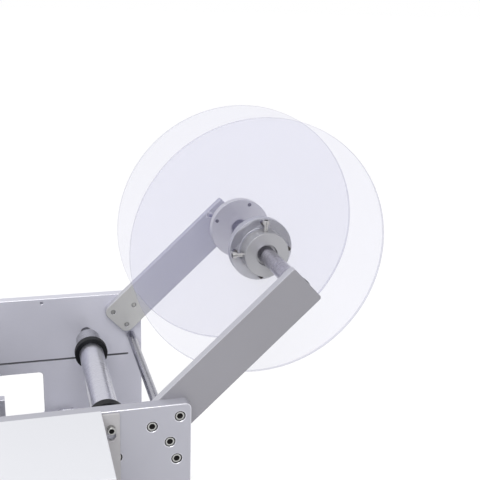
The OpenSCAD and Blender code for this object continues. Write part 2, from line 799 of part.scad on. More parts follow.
// A plain ring for each ball bearing
module bearing_ring(x, z, y, inner_d, outer_d) difference() {
  disk(x, z, y, bearing_w, outer_d);
  disk(x, z, y - cut, bearing_w + 2 * cut, inner_d + 2 * run_fit);
}
module roller_bearings() placed() color([0.5, 0.5, 0.5]) {
  for (place = journal_places) {
    bearing_ring(place[0], place[1], plate_t - bearing_w, journal_d, bearing_d);
    bearing_ring(place[0], place[1], far_y, journal_d, bearing_d);
  }
  for (y = [guide_y, guide_y + guide_len - bearing_w])
    bearing_ring(-guide_back, -guide_drop, y, guide_axle_d,
                 guide_d - 2 * guide_wall - 2 * run_fit);
  for (y = [roller_y, roller_y + roller_len - bearing_w])
    bearing_ring(-front_guide_back, -front_guide_drop, y, front_axle_d,
                 front_guide_d - 2 * front_guide_wall - 2 * run_fit);
}

module peel_plate() placed() color([0.72, 0.72, 0.76]) difference() {
  slope = peel_rise / peel_len;
  bar_x = peel_back_x - 2 * peel_screw_in;
  bar_z = peel_back_z - 2 * peel_screw_in * slope;
  slab(plate_t, inner_w) polygon([
    [-peel_tip_back, -peel_tip_drop], [peel_back_x, peel_back_z],
    [peel_back_x, peel_back_z - peel_t], [bar_x, bar_z - peel_t],
    [-peel_tip_back, -peel_tip_drop - peel_tip_t]
  ]);
  for (y = [plate_t - cut, far_y - tap_depth])
    disk(peel_screw_x, peel_screw_z, y, tap_depth + cut, screw_d + 2 * run_fit);
}

// Rods on which the label sensor and the bottle stop slide
module slide_rods() placed() color([0.6, 0.6, 0.64]) {
  tapped_rod(slide_rod_places[0][0], slide_rod_places[0][1], sensor_rod_d);
  tapped_rod(slide_rod_places[1][0], slide_rod_places[1][1], stop_rod_d);
}

module label_sensor() placed() color([0.12, 0.12, 0.13]) difference() {
  translate([-sensor_back - sensor_len / 2, sensor_y - sensor_w / 2,
             -sensor_drop - sensor_low_share * sensor_h])
    cube([sensor_len, sensor_w, sensor_h]);
  disk(-sensor_back, -sensor_drop, sensor_y - sensor_w, 2 * sensor_w,
       sensor_rod_d + 2 * run_fit);
  // Sighting bevel of the photocell
  translate([-sensor_back - sensor_len / 2, sensor_y, -sensor_drop - sensor_low_share * sensor_h])
    rotate([0, 45, 0]) cube([sensor_rod_d, 2 * sensor_w, sensor_rod_d], center = true);
}

// Roller body on a shaft with shouldered ends
module roller_body(x, z, d, near_end, far_end, shoulder) {
  disk(x, z, roller_y, roller_len, d);
  disk(x, z, shoulder, frame_w - 2 * shoulder, shoulder_share * journal_d);
  disk(x, z, near_end, far_end - near_end, journal_d);
}
module sleeve(x, z, y, t, inner_d, outer_d) difference() {
  disk(x, z, y, t, outer_d);
  disk(x, z, y - cut, t + 2 * cut, inner_d + 2 * run_fit);
}
module drive_roller() placed() color([0.55, 0.55, 0.58])
  roller_body(-drive_back, -drive_drop, drive_d - 2 * rubber_t, belt_end_y - side_gap,
              journal_far, plate_t + side_gap);
module drive_rubber() placed() color([0.1, 0.1, 0.1])
  sleeve(-drive_back, -drive_drop, roller_y, roller_len, drive_d - 2 * rubber_t, drive_d);
module bottle_roller() placed() color([0.55, 0.55, 0.58])
  roller_body(-bottle_back, -bottle_drop, bottle_roller_d - 2 * rubber_t, belt_end_y - side_gap,
              journal_far, plate_t + side_gap);
module bottle_rubber() placed() color([0.1, 0.1, 0.1])
  sleeve(-bottle_back, -bottle_drop, roller_y, roller_len, bottle_roller_d - 2 * rubber_t,
         bottle_roller_d);
module idle_roller() placed() color([0.75, 0.75, 0.79])
  roller_body(-idle_back, -bottle_drop, bottle_roller_d, plate_t - bearing_w + seat_gap,
              journal_far, plate_t + side_gap);

// Straight link with round ends, seen from the side
module link(from, to, w) {
  run = to - from;
  translate(from) circle(d = w);
  translate(to) circle(d = w);
  translate(from) rotate(atan2(run[1], run[0])) translate([0, -w / 2]) square([norm(run), w]);
}
// Fixed shafts on which the press arms and the pinch frame turn
module pivot_shafts() placed() color([0.55, 0.55, 0.6]) {
  tapped_rod(pivot_places[0][0], pivot_places[0][1], press_shaft_d);
  tapped_rod(pivot_places[1][0], pivot_places[1][1], pinch_pivot_d);
}

module pinch_frame_arm() difference() {
  slab(plate_t + side_gap, pinch_arm_t) {
    link(pivot_places[1], [pinch_x, pinch_z], pinch_arm_w);
    link(pivot_places[1], pivot_places[1] + [0, pinch_tail], pinch_arm_w);
  }
  disk(pivot_places[1][0], pivot_places[1][1], plate_t, 2 * pinch_arm_t,
       pinch_pivot_d + 2 * run_fit);
  disk(pinch_x, pinch_z, plate_t, 2 * pinch_arm_t, journal_d + 2 * run_fit);
}
module pinch_frame() placed() color([0.3, 0.3, 0.32]) {
  pinch_frame_arm();
  mirrored_side() pinch_frame_arm();
  disk(pivot_places[1][0], pivot_places[1][1] + pinch_tail, plate_t + side_gap,
       inner_w - 2 * side_gap, journal_d);
}
module pinch_roller() placed() color([0.15, 0.15, 0.16])
  roller_body(pinch_x, pinch_z, pinch_d, plate_t + 2 * side_gap, far_y - 2 * side_gap,
              plate_t + pinch_arm_t + 2 * side_gap);

// Press arm: two arms with a heel that rests on the sensor's rod, joined by the handle's core
press_line = [-cos(press_angle), -sin(press_angle)];
press_roller_at = pivot_places[0] + press_reach * press_line;
handle_at = pivot_places[0] + handle_reach * press_line;
heel_z = sensor_rod_d / 2 + seat_gap - sensor_drop;
heel_top = -press_pivot_drop - (sensor_back - press_pivot_back) * tan(press_angle);
module press_arm() difference() {
  slab(plate_t + side_gap, press_arm_t) {
    link(pivot_places[0], handle_at, press_arm_w);
    translate([-sensor_back - press_arm_t / 2, heel_z]) square([press_arm_t, heel_top - heel_z]);
  }
  disk(pivot_places[0][0], pivot_places[0][1], plate_t, 2 * press_arm_t,
       press_shaft_d + 2 * run_fit);
  disk(press_roller_at[0], press_roller_at[1], plate_t, 2 * press_arm_t,
       journal_d + 2 * run_fit);
}
module press_arms() placed() color([0.7, 0.7, 0.74]) {
  press_arm();
  mirrored_side() press_arm();
  disk(handle_at[0], handle_at[1], plate_t + side_gap, inner_w - 2 * side_gap, handle_core_d);
}
module press_handle() placed() color([0.1, 0.1, 0.11])
  sleeve(handle_at[0], handle_at[1], (frame_w - grip_share * inner_w) / 2,
         grip_share * inner_w, handle_core_d, handle_d);
module press_roller() placed() color([0.16, 0.16, 0.17])
  roller_body(press_roller_at[0], press_roller_at[1], press_roller_d, plate_t + 2 * side_gap,
              far_y - 2 * side_gap, plate_t + press_arm_t + 2 * side_gap);

// Bottle stop: a clamp block on its rod with a flat fence towards the rollers
stop_x = slide_rod_places[1][0];
stop_block_len = 2 * (stop_rod_front - 2 * side_gap) - 2 * side_gap;
// The fence passes just over the bottle rollers, and the block's top lies a little higher
fence_z = bottle_drop - bottle_roller_d / 2 - side_gap;
block_top = fence_z - side_gap;
knob_y = stop_y + (fence_t + stop_block_w) / 2;
module bottle_stop() placed() color([0.7, 0.7, 0.74]) difference() {
  union() {
    translate([stop_x - stop_block_len / 2, stop_y, -stop_rod_drop - stop_rod_d])
      cube([stop_block_len, stop_block_w, stop_rod_drop + stop_rod_d - block_top]);
    translate([stop_x - stop_block_len / 2, stop_y, -fence_z])
      cube([fence_len, fence_t, stop_knob_h + side_gap]);
  }
  disk(stop_x, -stop_rod_drop, stop_y - cut, stop_block_w + 2 * cut, stop_rod_d + 2 * run_fit);
  translate([stop_x, knob_y, -stop_rod_drop])
    cylinder(h = stop_rod_drop, d = screw_d + 2 * run_fit);
}
module stop_knob() placed() color([0.1, 0.1, 0.11])
  translate([stop_x, knob_y, -block_top]) {
    translate([0, 0, seat_gap]) difference() {
      cylinder(h = stop_knob_h - 2 * seat_gap, d = stop_knob_d);
      for (turn = [0:60:300]) rotate([0, 0, turn])
        translate([flute_at_share * stop_knob_d, 0, -cut])
          cylinder(h = stop_knob_h + 2 * cut, d = flute_share * stop_knob_d);
    }
    depth = stop_rod_drop - block_top - stop_rod_d / 2 - seat_gap;
    translate([0, 0, -depth]) cylinder(h = depth + 2 * seat_gap, d = screw_d);
  }

// Backing rewind: flanged spindle, and a wire clip half sunk in a groove along it
clip_y = roller_y + rewind_flange_t + seat_gap;
module rewind_spindle() placed() color([0.6, 0.6, 0.63]) difference() {
  union() {
    roller_body(-rewind_back, -rewind_drop, rewind_d, clutch_end_y - side_gap - sheet_t,
                journal_far, plate_t + side_gap);
    disk(-rewind_back, -rewind_drop, roller_y, rewind_flange_t, rewind_flange_d);
    disk(-rewind_back, -rewind_drop, clutch_end_y - side_gap - sheet_t, sheet_t,
         shoulder_share * journal_d);
  }
  disk(-rewind_back, rewind_d / 2 - rewind_drop, roller_y + rewind_flange_t, frame_w,
       clip_d + 2 * run_fit);
}
module liner_clip() placed() color([0.75, 0.75, 0.78]) {
  clip_z = rewind_d / 2 - rewind_drop;
  bend_y = roller_y + roller_len + side_gap + clip_d / 2;
  disk(-rewind_back, clip_z, clip_y, bend_y - clip_y, clip_d);
  translate([-rewind_back, bend_y, clip_z]) {
    sphere(d = clip_d);
    rotate([0, 90, 0]) cylinder(h = rewind_d / 2, d = clip_d);
  }
}

// Pulleys outside the control-side plate: timing belt first, rewind belt beyond it
module pulley(place, y, d, inner_d) difference() {
  union() {
    disk(place[0], place[1], y - pulley_w, pulley_w, d);
    for (rim = [y - rim_t, y - pulley_w])
      disk(place[0], place[1], rim, rim_t, d + 2 * (belt_t + rim_t / 2));
  }
  if (inner_d > 0) disk(place[0], place[1], y - pulley_w - cut, pulley_w + 2 * cut, inner_d);
}
module belt(y, places, ds) slab(y - rim_t - belt_w, belt_w) difference() {
  hull() for (i = [0:len(ds) - 1]) translate(places[i]) circle(d = ds[i] + 2 * belt_t);
  hull() for (i = [0:len(ds) - 1]) translate(places[i]) circle(d = ds[i] + 2 * run_fit);
}
module bottle_pulley() placed() color([0.5, 0.5, 0.53])
  pulley(driven_places[0], belt_start_y, bottle_pitch_d, journal_d + 2 * run_fit);
module drive_pulley() placed() color([0.5, 0.5, 0.53])
  pulley(driven_places[1], belt_start_y, drive_pitch_d, journal_d + 2 * run_fit);
module motor_pulleys() placed() color([0.5, 0.5, 0.53]) {
  pulley(driven_places[3], belt_start_y, motor_pitch_d, 0);
  pulley(driven_places[3], belt_end_y, rewind_drive_d, 0);
  disk(-motor_back, -motor_drop, clutch_end_y, plate_t + tap_depth - seat_gap - clutch_end_y,
       journal_d);
}
module rewind_pulley() placed() color([0.5, 0.5, 0.53]) difference() {
  union() {
    pulley(driven_places[2], belt_end_y, rewind_pulley_d, 0);
    disk(-rewind_back, -rewind_drop, belt_end_y - cut, cut - belt_end_y - mount_t - side_gap,
         2 * journal_d);
  }
  disk(-rewind_back, -rewind_drop, clutch_end_y - cut, cut - clutch_end_y,
       journal_d + 2 * run_fit);
}
module timing_belt() placed() color([0.08, 0.08, 0.08])
  belt(belt_start_y, [driven_places[0], driven_places[1], driven_places[3]],
       [bottle_pitch_d, drive_pitch_d, motor_pitch_d]);
module rewind_belt() placed() color([0.12, 0.1, 0.08])
  belt(belt_end_y, [driven_places[2], driven_places[3]], [rewind_pulley_d, rewind_drive_d]);

module gear_motor() placed() color([0.25, 0.25, 0.27]) difference() {
  union() {
    disk(-motor_back, -motor_drop, plate_t, gearbox_share * motor_len, motor_d);
    disk(-motor_back, -motor_drop, plate_t, motor_len, motor_can_share * motor_d);
  }
  disk(-motor_back, -motor_drop, plate_t - cut, tap_depth + cut, journal_d + 2 * run_fit);
  for (place = motor_screw_places)
    disk(place[0], place[1], plate_t - cut, tap_depth + cut, screw_d + 2 * run_fit);
}

// Control box: outline seen from the side, drawn in by s; its top stands above the side plate
module cover_outline(s) {
  front_x = -cover_back - cover_len;
  polygon([
    [-cover_back - s, sheet_t - s],
    [s * tan(panel_tilt / 2) + sheet_t / tan(panel_tilt) - cover_back - cover_top_len, sheet_t - s],
    [front_x + s, -panel_drop - s * tan(45 - panel_tilt / 2)], [front_x + s, s - cover_h],
    [-cover_back - s, s - cover_h]
  ]);
}
module on_panel(v, side)
  translate([-cover_back - cover_top_len, side - mount_t - cover_d / 2, 0])
    rotate([0, -panel_tilt, 0]) translate([-v, 0, 0]) children();
module on_rear_wall()
  translate([-cover_back, -mount_t - inlet_side_share * cover_d, -inlet_down_share * cover_h])
    children();
keyhole_drop = small_head_d + side_gap;
tab_y = -mount_t - head_d - 2 * belt_t;
tab_z = sheet_t - cover_h;

module mounting_plate() placed() color([0.62, 0.62, 0.61]) difference() {
  union() {
    slab(-mount_t, mount_t) {
      cover_outline(sheet_t + seat_gap);
      translate([-cover_back - cut - sheet_t, -cover_h])
        square([cover_back - mount_back + cut + sheet_t, cover_h - sheet_t]);
    }
    translate([-cover_back - cover_len + sheet_t, tab_y - head_d / 2, tab_z])
      cube([cover_len - 2 * sheet_t, head_d / 2 - tab_y - mount_t / 2, tab_t]);
  }
  for (place = driven_places)
    disk(place[0], place[1], -mount_t - cut, mount_t + 2 * cut, shaft_hole_d);
  // Keyholes: the heads pass the wide ends, and the plate then drops onto the shanks
  for (place = mount_screw_places) {
    slab(-mount_t - cut, mount_t + 2 * cut)
      link(place, place - [0, keyhole_drop], small_screw_d + 2 * run_fit);
    disk(place[0], place[1] - keyhole_drop, -mount_t - cut, mount_t + 2 * cut,
         small_head_d + 2 * side_gap);
  }
  for (share = tab_screw_shares)
    translate([-cover_back - share * cover_len, tab_y, tab_z - cut])
      cylinder(h = tab_t + 2 * cut, d = small_screw_d + 2 * run_fit);
}

module control_cover() placed() color([0.93, 0.93, 0.95]) difference() {
  slab(-mount_t - cover_d, cover_d + mount_t) cover_outline(0);
  slab(-mount_t - cover_d + sheet_t, cover_d + mount_t) cover_outline(sheet_t);
  // Slot for the mounting plate's strip
  translate([-cover_back - 2 * sheet_t, -mount_t - seat_gap, -cover_h - cut])
    cube([3 * sheet_t, mount_t + seat_gap + cut, cover_h + cut]);
  on_panel(display_v, 0)
    cube([display_h, display_w, 4 * sheet_t], center = true);
  for (side = [-key_pitch, 0, key_pitch]) on_panel(key_v, side)
    cylinder(h = 4 * sheet_t, d = key_d + 2 * run_fit, center = true);
  on_panel(dial_v, dial_side)
    cylinder(h = 4 * sheet_t, d = dial_stem_d + 2 * run_fit, center = true);
  on_panel(dial_v, -dial_side)
    cylinder(h = 4 * sheet_t, d = stop_stem_d + 2 * run_fit, center = true);
  on_rear_wall() cube([4 * sheet_t, inlet_w, module_h], center = true);
  for (share = tab_screw_shares)
    translate([-cover_back - share * cover_len, tab_y, -cover_h - cut])
      cylinder(h = sheet_t + 2 * cut, d = small_screw_d + 2 * run_fit);
}

module cover_screws() placed() color([0.5, 0.5, 0.52]) {
  for (place = mount_screw_places)
    cap_screw(place[0], place[1], -mount_t - head_h, mount_t + plate_t - head_sink,
              small_screw_d, small_head_d);
  for (share = tab_screw_shares)
    translate([-cover_back - share * cover_len, tab_y, -cover_h]) rotate([90, 0, 0])
      cap_screw(0, 0, -head_h, sheet_t + tab_t, small_screw_d, small_head_d);
}

module display_window() placed() on_panel(display_v, 0) color([0.05, 0.06, 0.07]) {
  translate([-display_h / 2 + seat_gap, -display_w / 2 + seat_gap, -2 * sheet_t])
    cube([display_h - 2 * seat_gap, display_w - 2 * seat_gap, 2 * sheet_t - seat_gap / 2]);
  translate([-display_h / 2 - display_t, -display_w / 2 - display_t, -sheet_t - display_t])
    cube([display_h + 2 * display_t, display_w + 2 * display_t, display_t]);
}

// Push part with a collar that rests under the panel's sheet
module push_part(d, top, collar_w, depth) {
  translate([0, 0, -sheet_t - depth]) cylinder(h = sheet_t + depth + top, d = d);
  translate([0, 0, -sheet_t - collar_w]) cylinder(h = collar_w, d = d + 2 * collar_w);
}
module key_body(side) placed() on_panel(key_v, side) push_part(key_d, key_h, sheet_t, 2 * sheet_t);
module key_up() color([0.2, 0.35, 0.55]) key_body(-key_pitch);
module key_down() color([0.2, 0.35, 0.55]) key_body(0);
module key_set() color([0.2, 0.45, 0.3]) key_body(key_pitch);
module delay_dial() placed() on_panel(dial_v, dial_side) color([0.1, 0.1, 0.11]) {
  push_part(dial_stem_d, seat_gap + sheet_t, sheet_t, dial_stem_d);
  translate([0, 0, seat_gap]) difference() {
    union() {
      cylinder(h = dial_h / 3, d = dial_d);
      cylinder(h = dial_h, d1 = skirt_share * dial_d, d2 = crown_share * dial_d);
    }
    translate([pointer_share * dial_d, -sheet_t / 2, dial_h - sheet_t / 2])
      cube([dial_d, sheet_t, dial_h]);
  }
}
module stop_button() placed() on_panel(dial_v, -dial_side) color([0.75, 0.06, 0.05]) {
  push_part(stop_stem_d, stop_travel + sheet_t, sheet_t, stop_travel);
  translate([0, 0, stop_travel + side_gap]) {
    cylinder(h = stop_head_h / 2, d1 = head_root_share * stop_head_d, d2 = stop_head_d);
    translate([0, 0, stop_head_h / 2])
      cylinder(h = stop_head_h / 2, d1 = stop_head_d, d2 = head_crown_share * stop_head_d);
  }
}

// Power entry module in the box's rear wall: socket below, rocker pocket above
rocker_z = (inlet_h + sheet_t) / 2;
socket_z = -(rocker_len + sheet_t) / 2;
rocker_r = rocker_len / 2;
module power_inlet() placed() on_rear_wall() color([0.08, 0.08, 0.09]) {
  difference() {
    union() {
      translate([-module_depth, seat_gap - inlet_w / 2, seat_gap - module_h / 2])
        cube([module_depth, inlet_w - 2 * seat_gap, module_h - 2 * seat_gap]);
      translate([0, -inlet_w / 2 - display_t, -module_h / 2 - display_t])
        cube([display_t, inlet_w + 2 * display_t, module_h + 2 * display_t]);
    }
    translate([sheet_t - module_depth, -(inlet_w - 4 * sheet_t) / 2,
               socket_z - (inlet_h - 2 * sheet_t) / 2])
      cube([module_depth + display_t, inlet_w - 4 * sheet_t, inlet_h - 2 * sheet_t]);
    translate([-rocker_len / 2, -rocker_w / 2 - side_gap, rocker_z - rocker_len / 2 - side_gap])
      cube([rocker_len, rocker_w + 2 * side_gap, rocker_len + 2 * side_gap]);
    translate([0, 0, rocker_z]) rotate([90, 0, 0])
      cylinder(h = inlet_w - 4 * sheet_t, d = pin_d + 2 * run_fit, center = true);
  }
  for (side = [-1, 0, 1])
    translate([sheet_t / 2 - module_depth, side * pin_pitch_share * inlet_w - sheet_t / 2,
               socket_z - (1 + (side == 0 ? 2 : 0)) * sheet_t + sheet_t])
      cube([module_depth - sheet_t, sheet_t, 2 * sheet_t]);
}
module power_switch() placed() on_rear_wall() translate([0, 0, rocker_z])
  color([0.7, 0.05, 0.05]) rotate([90, 0, 0]) {
    linear_extrude(height = rocker_w, center = true) polygon([
      [-pin_d, -rocker_r / 2], [0, side_gap - rocker_r], [display_t + sheet_t, side_gap - rocker_r],
      [display_t, 0], [display_t, rocker_r - side_gap], [0, rocker_r - side_gap],
      [-pin_d, rocker_r / 2]
    ]);
    cylinder(h = rocker_w + 2 * pin_d, d = pin_d, center = true);
  }

// Control board on four standoffs inside the box's outer face
module control_board() placed() color([0.1, 0.35, 0.2])
  translate([-cover_back - board_in_share * cover_len, -mount_t - cover_d + sheet_t, -board_h]) {
    post = tab_t + head_h;
    for (x = [-board_len + head_h, -head_h], z = [head_h, board_h - head_h - tab_t])
      translate([x, 0, z]) rotate([-90, 0, 0]) cylinder(h = post, d = head_d);
    translate([-board_len, post, 0]) cube([board_len, sheet_t, board_h - tab_t]);
    for (share = chip_shares)
      translate([-share * board_len, post, share * board_h / 2])
        cube([head_d * 3, head_d + share * head_d, head_d * 3]);
  }

near_side_plate();
far_side_plate();
base_plate();
rubber_feet();
tie_rods();
frame_screws();
arm_screws();
near_arm();
far_arm();
shaft_bushes();
reel_shaft();
near_hub();
near_disc();
near_hub_screws();
far_hub();
far_disc();
far_hub_screws();
guide_axles();
guide_collars();
guide_roller();
guide_flanges();
front_guide_roller();
roller_bearings();
peel_plate();
slide_rods();
label_sensor();
drive_roller();
drive_rubber();
pivot_shafts();
pinch_frame();
pinch_roller();
bottle_roller();
bottle_rubber();
idle_roller();
press_arms();
press_handle();
press_roller();
bottle_stop();
stop_knob();
rewind_spindle();
liner_clip();
rewind_pulley();
gear_motor();
motor_pulleys();
bottle_pulley();
drive_pulley();
timing_belt();
rewind_belt();
mounting_plate();
control_cover();
cover_screws();
display_window();
key_up();
key_down();
key_set();
delay_dial();
stop_button();
power_switch();
power_inlet();
control_board();
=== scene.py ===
import json
import math

import bpy
from mathutils import Matrix, Vector

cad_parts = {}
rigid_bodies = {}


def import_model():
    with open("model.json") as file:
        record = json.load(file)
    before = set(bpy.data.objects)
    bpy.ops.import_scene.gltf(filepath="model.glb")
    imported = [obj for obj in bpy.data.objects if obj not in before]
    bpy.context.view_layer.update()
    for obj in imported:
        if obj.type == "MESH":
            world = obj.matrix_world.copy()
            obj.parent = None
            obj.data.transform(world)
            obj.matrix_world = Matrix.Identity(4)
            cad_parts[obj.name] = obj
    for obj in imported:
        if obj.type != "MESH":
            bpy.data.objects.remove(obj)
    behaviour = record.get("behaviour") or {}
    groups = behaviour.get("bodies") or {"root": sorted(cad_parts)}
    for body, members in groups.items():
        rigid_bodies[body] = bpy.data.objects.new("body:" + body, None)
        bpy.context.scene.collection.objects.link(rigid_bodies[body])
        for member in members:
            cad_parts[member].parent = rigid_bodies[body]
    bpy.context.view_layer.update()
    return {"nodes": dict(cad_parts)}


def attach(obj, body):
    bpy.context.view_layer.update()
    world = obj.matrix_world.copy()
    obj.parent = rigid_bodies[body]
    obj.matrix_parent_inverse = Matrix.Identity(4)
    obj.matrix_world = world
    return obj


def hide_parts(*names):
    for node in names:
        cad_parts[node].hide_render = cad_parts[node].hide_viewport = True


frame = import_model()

node = frame["nodes"]


# Camera. The photographer stood at the control side with the lens about 0.1 m above the
# machine, looking 17 degrees down and 16 degrees towards the reel; the frame cuts the machine
# at its left and lower edges.
azimuth, elevation, roll = math.radians(-16.10), math.radians(16.68), math.radians(1.645)
eye = Vector((-0.05776, -0.68801, 0.56146))
back = Vector((math.sin(azimuth) * math.cos(elevation),
               -math.cos(azimuth) * math.cos(elevation), math.sin(elevation)))
right = (-back).cross(Vector((0, 0, 1))).normalized()
up = right.cross(-back)
cam_right = right * math.cos(roll) + up * math.sin(roll)
cam_up = up * math.cos(roll) - right * math.sin(roll)
bpy.ops.object.camera_add()
camera = bpy.context.active_object
camera.data.sensor_width = 36.0
camera.data.lens = 60.735
camera.matrix_world = Matrix.Translation(eye) @ Matrix(
    (cam_right, cam_up, back)).transposed().to_4x4()
bpy.context.scene.camera = camera
bpy.context.scene.view_settings.view_transform = "Standard"


# Base plate and feet. A 12 mm aluminium plate ties the side plates at the bottom. It is sawn,
# lightly brushed and clear anodised, and stands on four turned rubber feet.
noise_low, noise_high = 0.3, 0.7    # nearly all of a noise's values lie between these


def rgb(r, g, b):
    """A colour written in sRGB, 0 to 255, as the linear values a shader takes."""
    def lin(c):
        c = c / 255
        return c / 12.92 if c <= 0.04045 else ((c + 0.055) / 1.055) ** 2.4
    return (lin(r), lin(g), lin(b), 1.0)


def new_material(name):
    material = bpy.data.materials.new(name)
    material.use_nodes = True
    tree = material.node_tree
    return material, tree, tree.nodes["Principled BSDF"]


def object_noise(tree, scale, detail, rough, stretch=(1, 1, 1)):
    """Noise on Object coordinates, drawn out along the axes where stretch is small."""
    coords = tree.nodes.new("ShaderNodeTexCoord")
    mapping = tree.nodes.new("ShaderNodeMapping")
    mapping.inputs["Scale"].default_value = stretch
    noise = tree.nodes.new("ShaderNodeTexNoise")
    noise.inputs["Scale"].default_value = scale
    noise.inputs["Detail"].default_value = detail
    noise.inputs["Roughness"].default_value = rough
    tree.links.new(coords.outputs["Object"], mapping.inputs["Vector"])
    tree.links.new(mapping.outputs["Vector"], noise.inputs["Vector"])
    return noise.outputs["Fac"]


def ramp(tree, source, dark, light):
    """Turns a noise into a run from one colour to another."""
    run = tree.nodes.new("ShaderNodeValToRGB")
    run.color_ramp.elements[0].position = noise_low
    run.color_ramp.elements[0].color = dark
    run.color_ramp.elements[1].position = noise_high
    run.color_ramp.elements[1].color = light
    tree.links.new(source, run.inputs["Fac"])
    return run.outputs["Color"]


def varied(tree, source, colour, spread):
    """Turns a noise into a colour that is now a little darker and now a little lighter."""
    dark, light = [tuple(c * k for c in colour[:3]) + (1.0,) for k in (1 - spread, 1 + spread)]
    return ramp(tree, source, dark, light)


def between(tree, source, low, high):
    """Turns a noise into a number from low to high."""
    spread = tree.nodes.new("ShaderNodeMapRange")
    spread.inputs["From Min"].default_value = noise_low
    spread.inputs["From Max"].default_value = noise_high
    spread.inputs["To Min"].default_value = low
    spread.inputs["To Max"].default_value = high
    tree.links.new(source, spread.inputs["Value"])
    return spread.outputs["Result"]


def relief(tree, shader, source, strength, distance):
    """Lets a noise stand out from the surface as fine relief."""
    bump = tree.nodes.new("ShaderNodeBump")
    bump.inputs["Strength"].default_value = strength
    bump.inputs["Distance"].default_value = distance
    tree.links.new(source, bump.inputs["Height"])
    tree.links.new(bump.outputs["Normal"], shader.inputs["Normal"])


def brushed_aluminium(name, colour, grain=(0.04, 1, 1), metal=0.45, rough=(0.40, 0.54),
                      marks=0.10):
    """Anodised aluminium: a fine brushing along the grain under a soft cloudy film."""
    material, tree, shader = new_material(name)
    line_part, cloud_part = 0.35, 0.65
    lines = object_noise(tree, 2600, detail=3, rough=0.6, stretch=grain)
    cloud = object_noise(tree, 9, detail=3, rough=0.5)
    share = tree.nodes.new("ShaderNodeMath")
    share.operation = "MULTIPLY"
    share.inputs[1].default_value = cloud_part
    tree.links.new(cloud, share.inputs[0])
    both = tree.nodes.new("ShaderNodeMath")
    both.operation = "MULTIPLY_ADD"
    both.inputs[1].default_value = line_part
    tree.links.new(lines, both.inputs[0])
    tree.links.new(share.outputs[0], both.inputs[2])
    tree.links.new(varied(tree, both.outputs[0], colour, 0.05), shader.inputs["Base Color"])
    tree.links.new(between(tree, lines, *rough), shader.inputs["Roughness"])
    shader.inputs["Metallic"].default_value = metal
    relief(tree, shader, lines, strength=marks, distance=0.00004)
    return material


def moulded(name, colour, rough=(0.38, 0.5), grain=900, depth=0.15, coat=0.0, gloss=0.5):
    """Moulded plastic: an even colour, a fine spark-eroded grain and a slight mottle."""
    material, tree, shader = new_material(name)
    pits = object_noise(tree, grain, detail=2, rough=0.5)
    mottle = object_noise(tree, 25, detail=3, rough=0.5)
    tree.links.new(varied(tree, mottle, colour, 0.08), shader.inputs["Base Color"])
    tree.links.new(between(tree, pits, *rough), shader.inputs["Roughness"])
    shader.inputs["Specular IOR Level"].default_value = gloss
    shader.inputs["Coat Weight"].default_value = coat
    shader.inputs["Coat Roughness"].default_value = 0.1
    relief(tree, shader, pits, strength=depth, distance=0.00005)
    return material


def dress(name, material):
    """Gives a CAD node its finish."""
    for place in node[name].material_slots:
        place.material = material


def eased(name, body, material, width, segments=2, angle=40, edge=None, fans=False):
    """A copy of a CAD node with its loose triangles joined and its sharp edges broken by
    width. Fans cuts faces with a hole in them into triangles first."""
    same_point, flat, smooth = 0.000004, math.radians(0.4), math.radians(38)
    bpy.ops.object.select_all(action="DESELECT")
    node[name].select_set(True)
    bpy.context.view_layer.objects.active = node[name]
    bpy.ops.object.duplicate()
    piece = bpy.context.active_object
    piece.name = name + "_eased"
    if piece.parent:
        bpy.ops.object.parent_clear(type="CLEAR_KEEP_TRANSFORM")
    piece.data = piece.data.copy()
    bpy.ops.object.mode_set(mode="EDIT")
    bpy.ops.mesh.select_all(action="SELECT")
    bpy.ops.mesh.remove_doubles(threshold=same_point)
    bpy.ops.mesh.dissolve_limited(angle_limit=flat)
    if fans:
        bpy.ops.mesh.quads_convert_to_tris(quad_method="BEAUTY", ngon_method="BEAUTY")
    bpy.ops.object.mode_set(mode="OBJECT")
    bevel = piece.modifiers.new("broken_edges", "BEVEL")
    bevel.width = width
    bevel.segments = segments
    bevel.limit_method = "ANGLE"
    bevel.angle_limit = math.radians(angle)
    bevel.use_clamp_overlap = False
    bevel.miter_outer = "MITER_ARC"
    piece.data.materials.clear()
    piece.data.materials.append(material)
    for face in piece.data.polygons:
        face.material_index = 0
    if edge:
        piece.data.materials.append(edge)
        bevel.material = 1
    bpy.ops.object.modifier_apply(modifier=bevel.name)
    bpy.ops.object.shade_smooth_by_angle(angle=smooth)
    weighted = piece.modifiers.new("flat_faces_stay_flat", "WEIGHTED_NORMAL")
    weighted.keep_sharp = True
    weighted.weight = 80
    bpy.ops.object.modifier_apply(modifier=weighted.name)
    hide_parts(name)
    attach(piece, body)
    return piece


plate_grey = brushed_aluminium("plate_grey_anodised", rgb(179, 179, 188))
# The chamfers get a lighter, shinier aluminium: partly the bare metal of the chamfer, partly
# painted highlight along the edges.
bare_edge_highlight = brushed_aluminium("bare_chamfer_highlight", rgb(226, 226, 232), grain=(1, 1, 1), metal=0.85,
                              rough=(0.2, 0.3))
foot_rubber = moulded("foot_rubber", rgb(38, 38, 39), rough=(0.6, 0.78), grain=1500, depth=0.3)
eased("base_plate", "machine_frame", plate_grey, width=0.0006)
eased("rubber_feet", "machine_frame", foot_rubber, width=0.0012, segments=3)


# Side plates and tie rods. Two 11.5 mm side plates, sawn from satin anodised sheet with broken
# edges, stand either side of the base. Cap screws in counterbores pull them against the turned
# tie rods.
# The far plate is the same anodised sheet as the near one; its lighter colour is painted light
# that stands in for the light on its inner face.
far_plate_lit_grey = brushed_aluminium("far_plate_painted_light", rgb(216, 216, 227), metal=0.3)
near_plate = eased("near_side_plate", "machine_frame", plate_grey,
                   width=0.0006, edge=bare_edge_highlight)
far_plate = eased("far_side_plate", "machine_frame", far_plate_lit_grey,
                  width=0.0005, edge=bare_edge_highlight)


def paint_where(piece, material, inside):
    """Gives another finish to the faces whose centre and direction the test accepts."""
    piece.data.materials.append(material)
    place = len(piece.data.materials) - 1
    for face in piece.data.polygons:
        if inside(face.center, face.normal):
            face.material_index = place


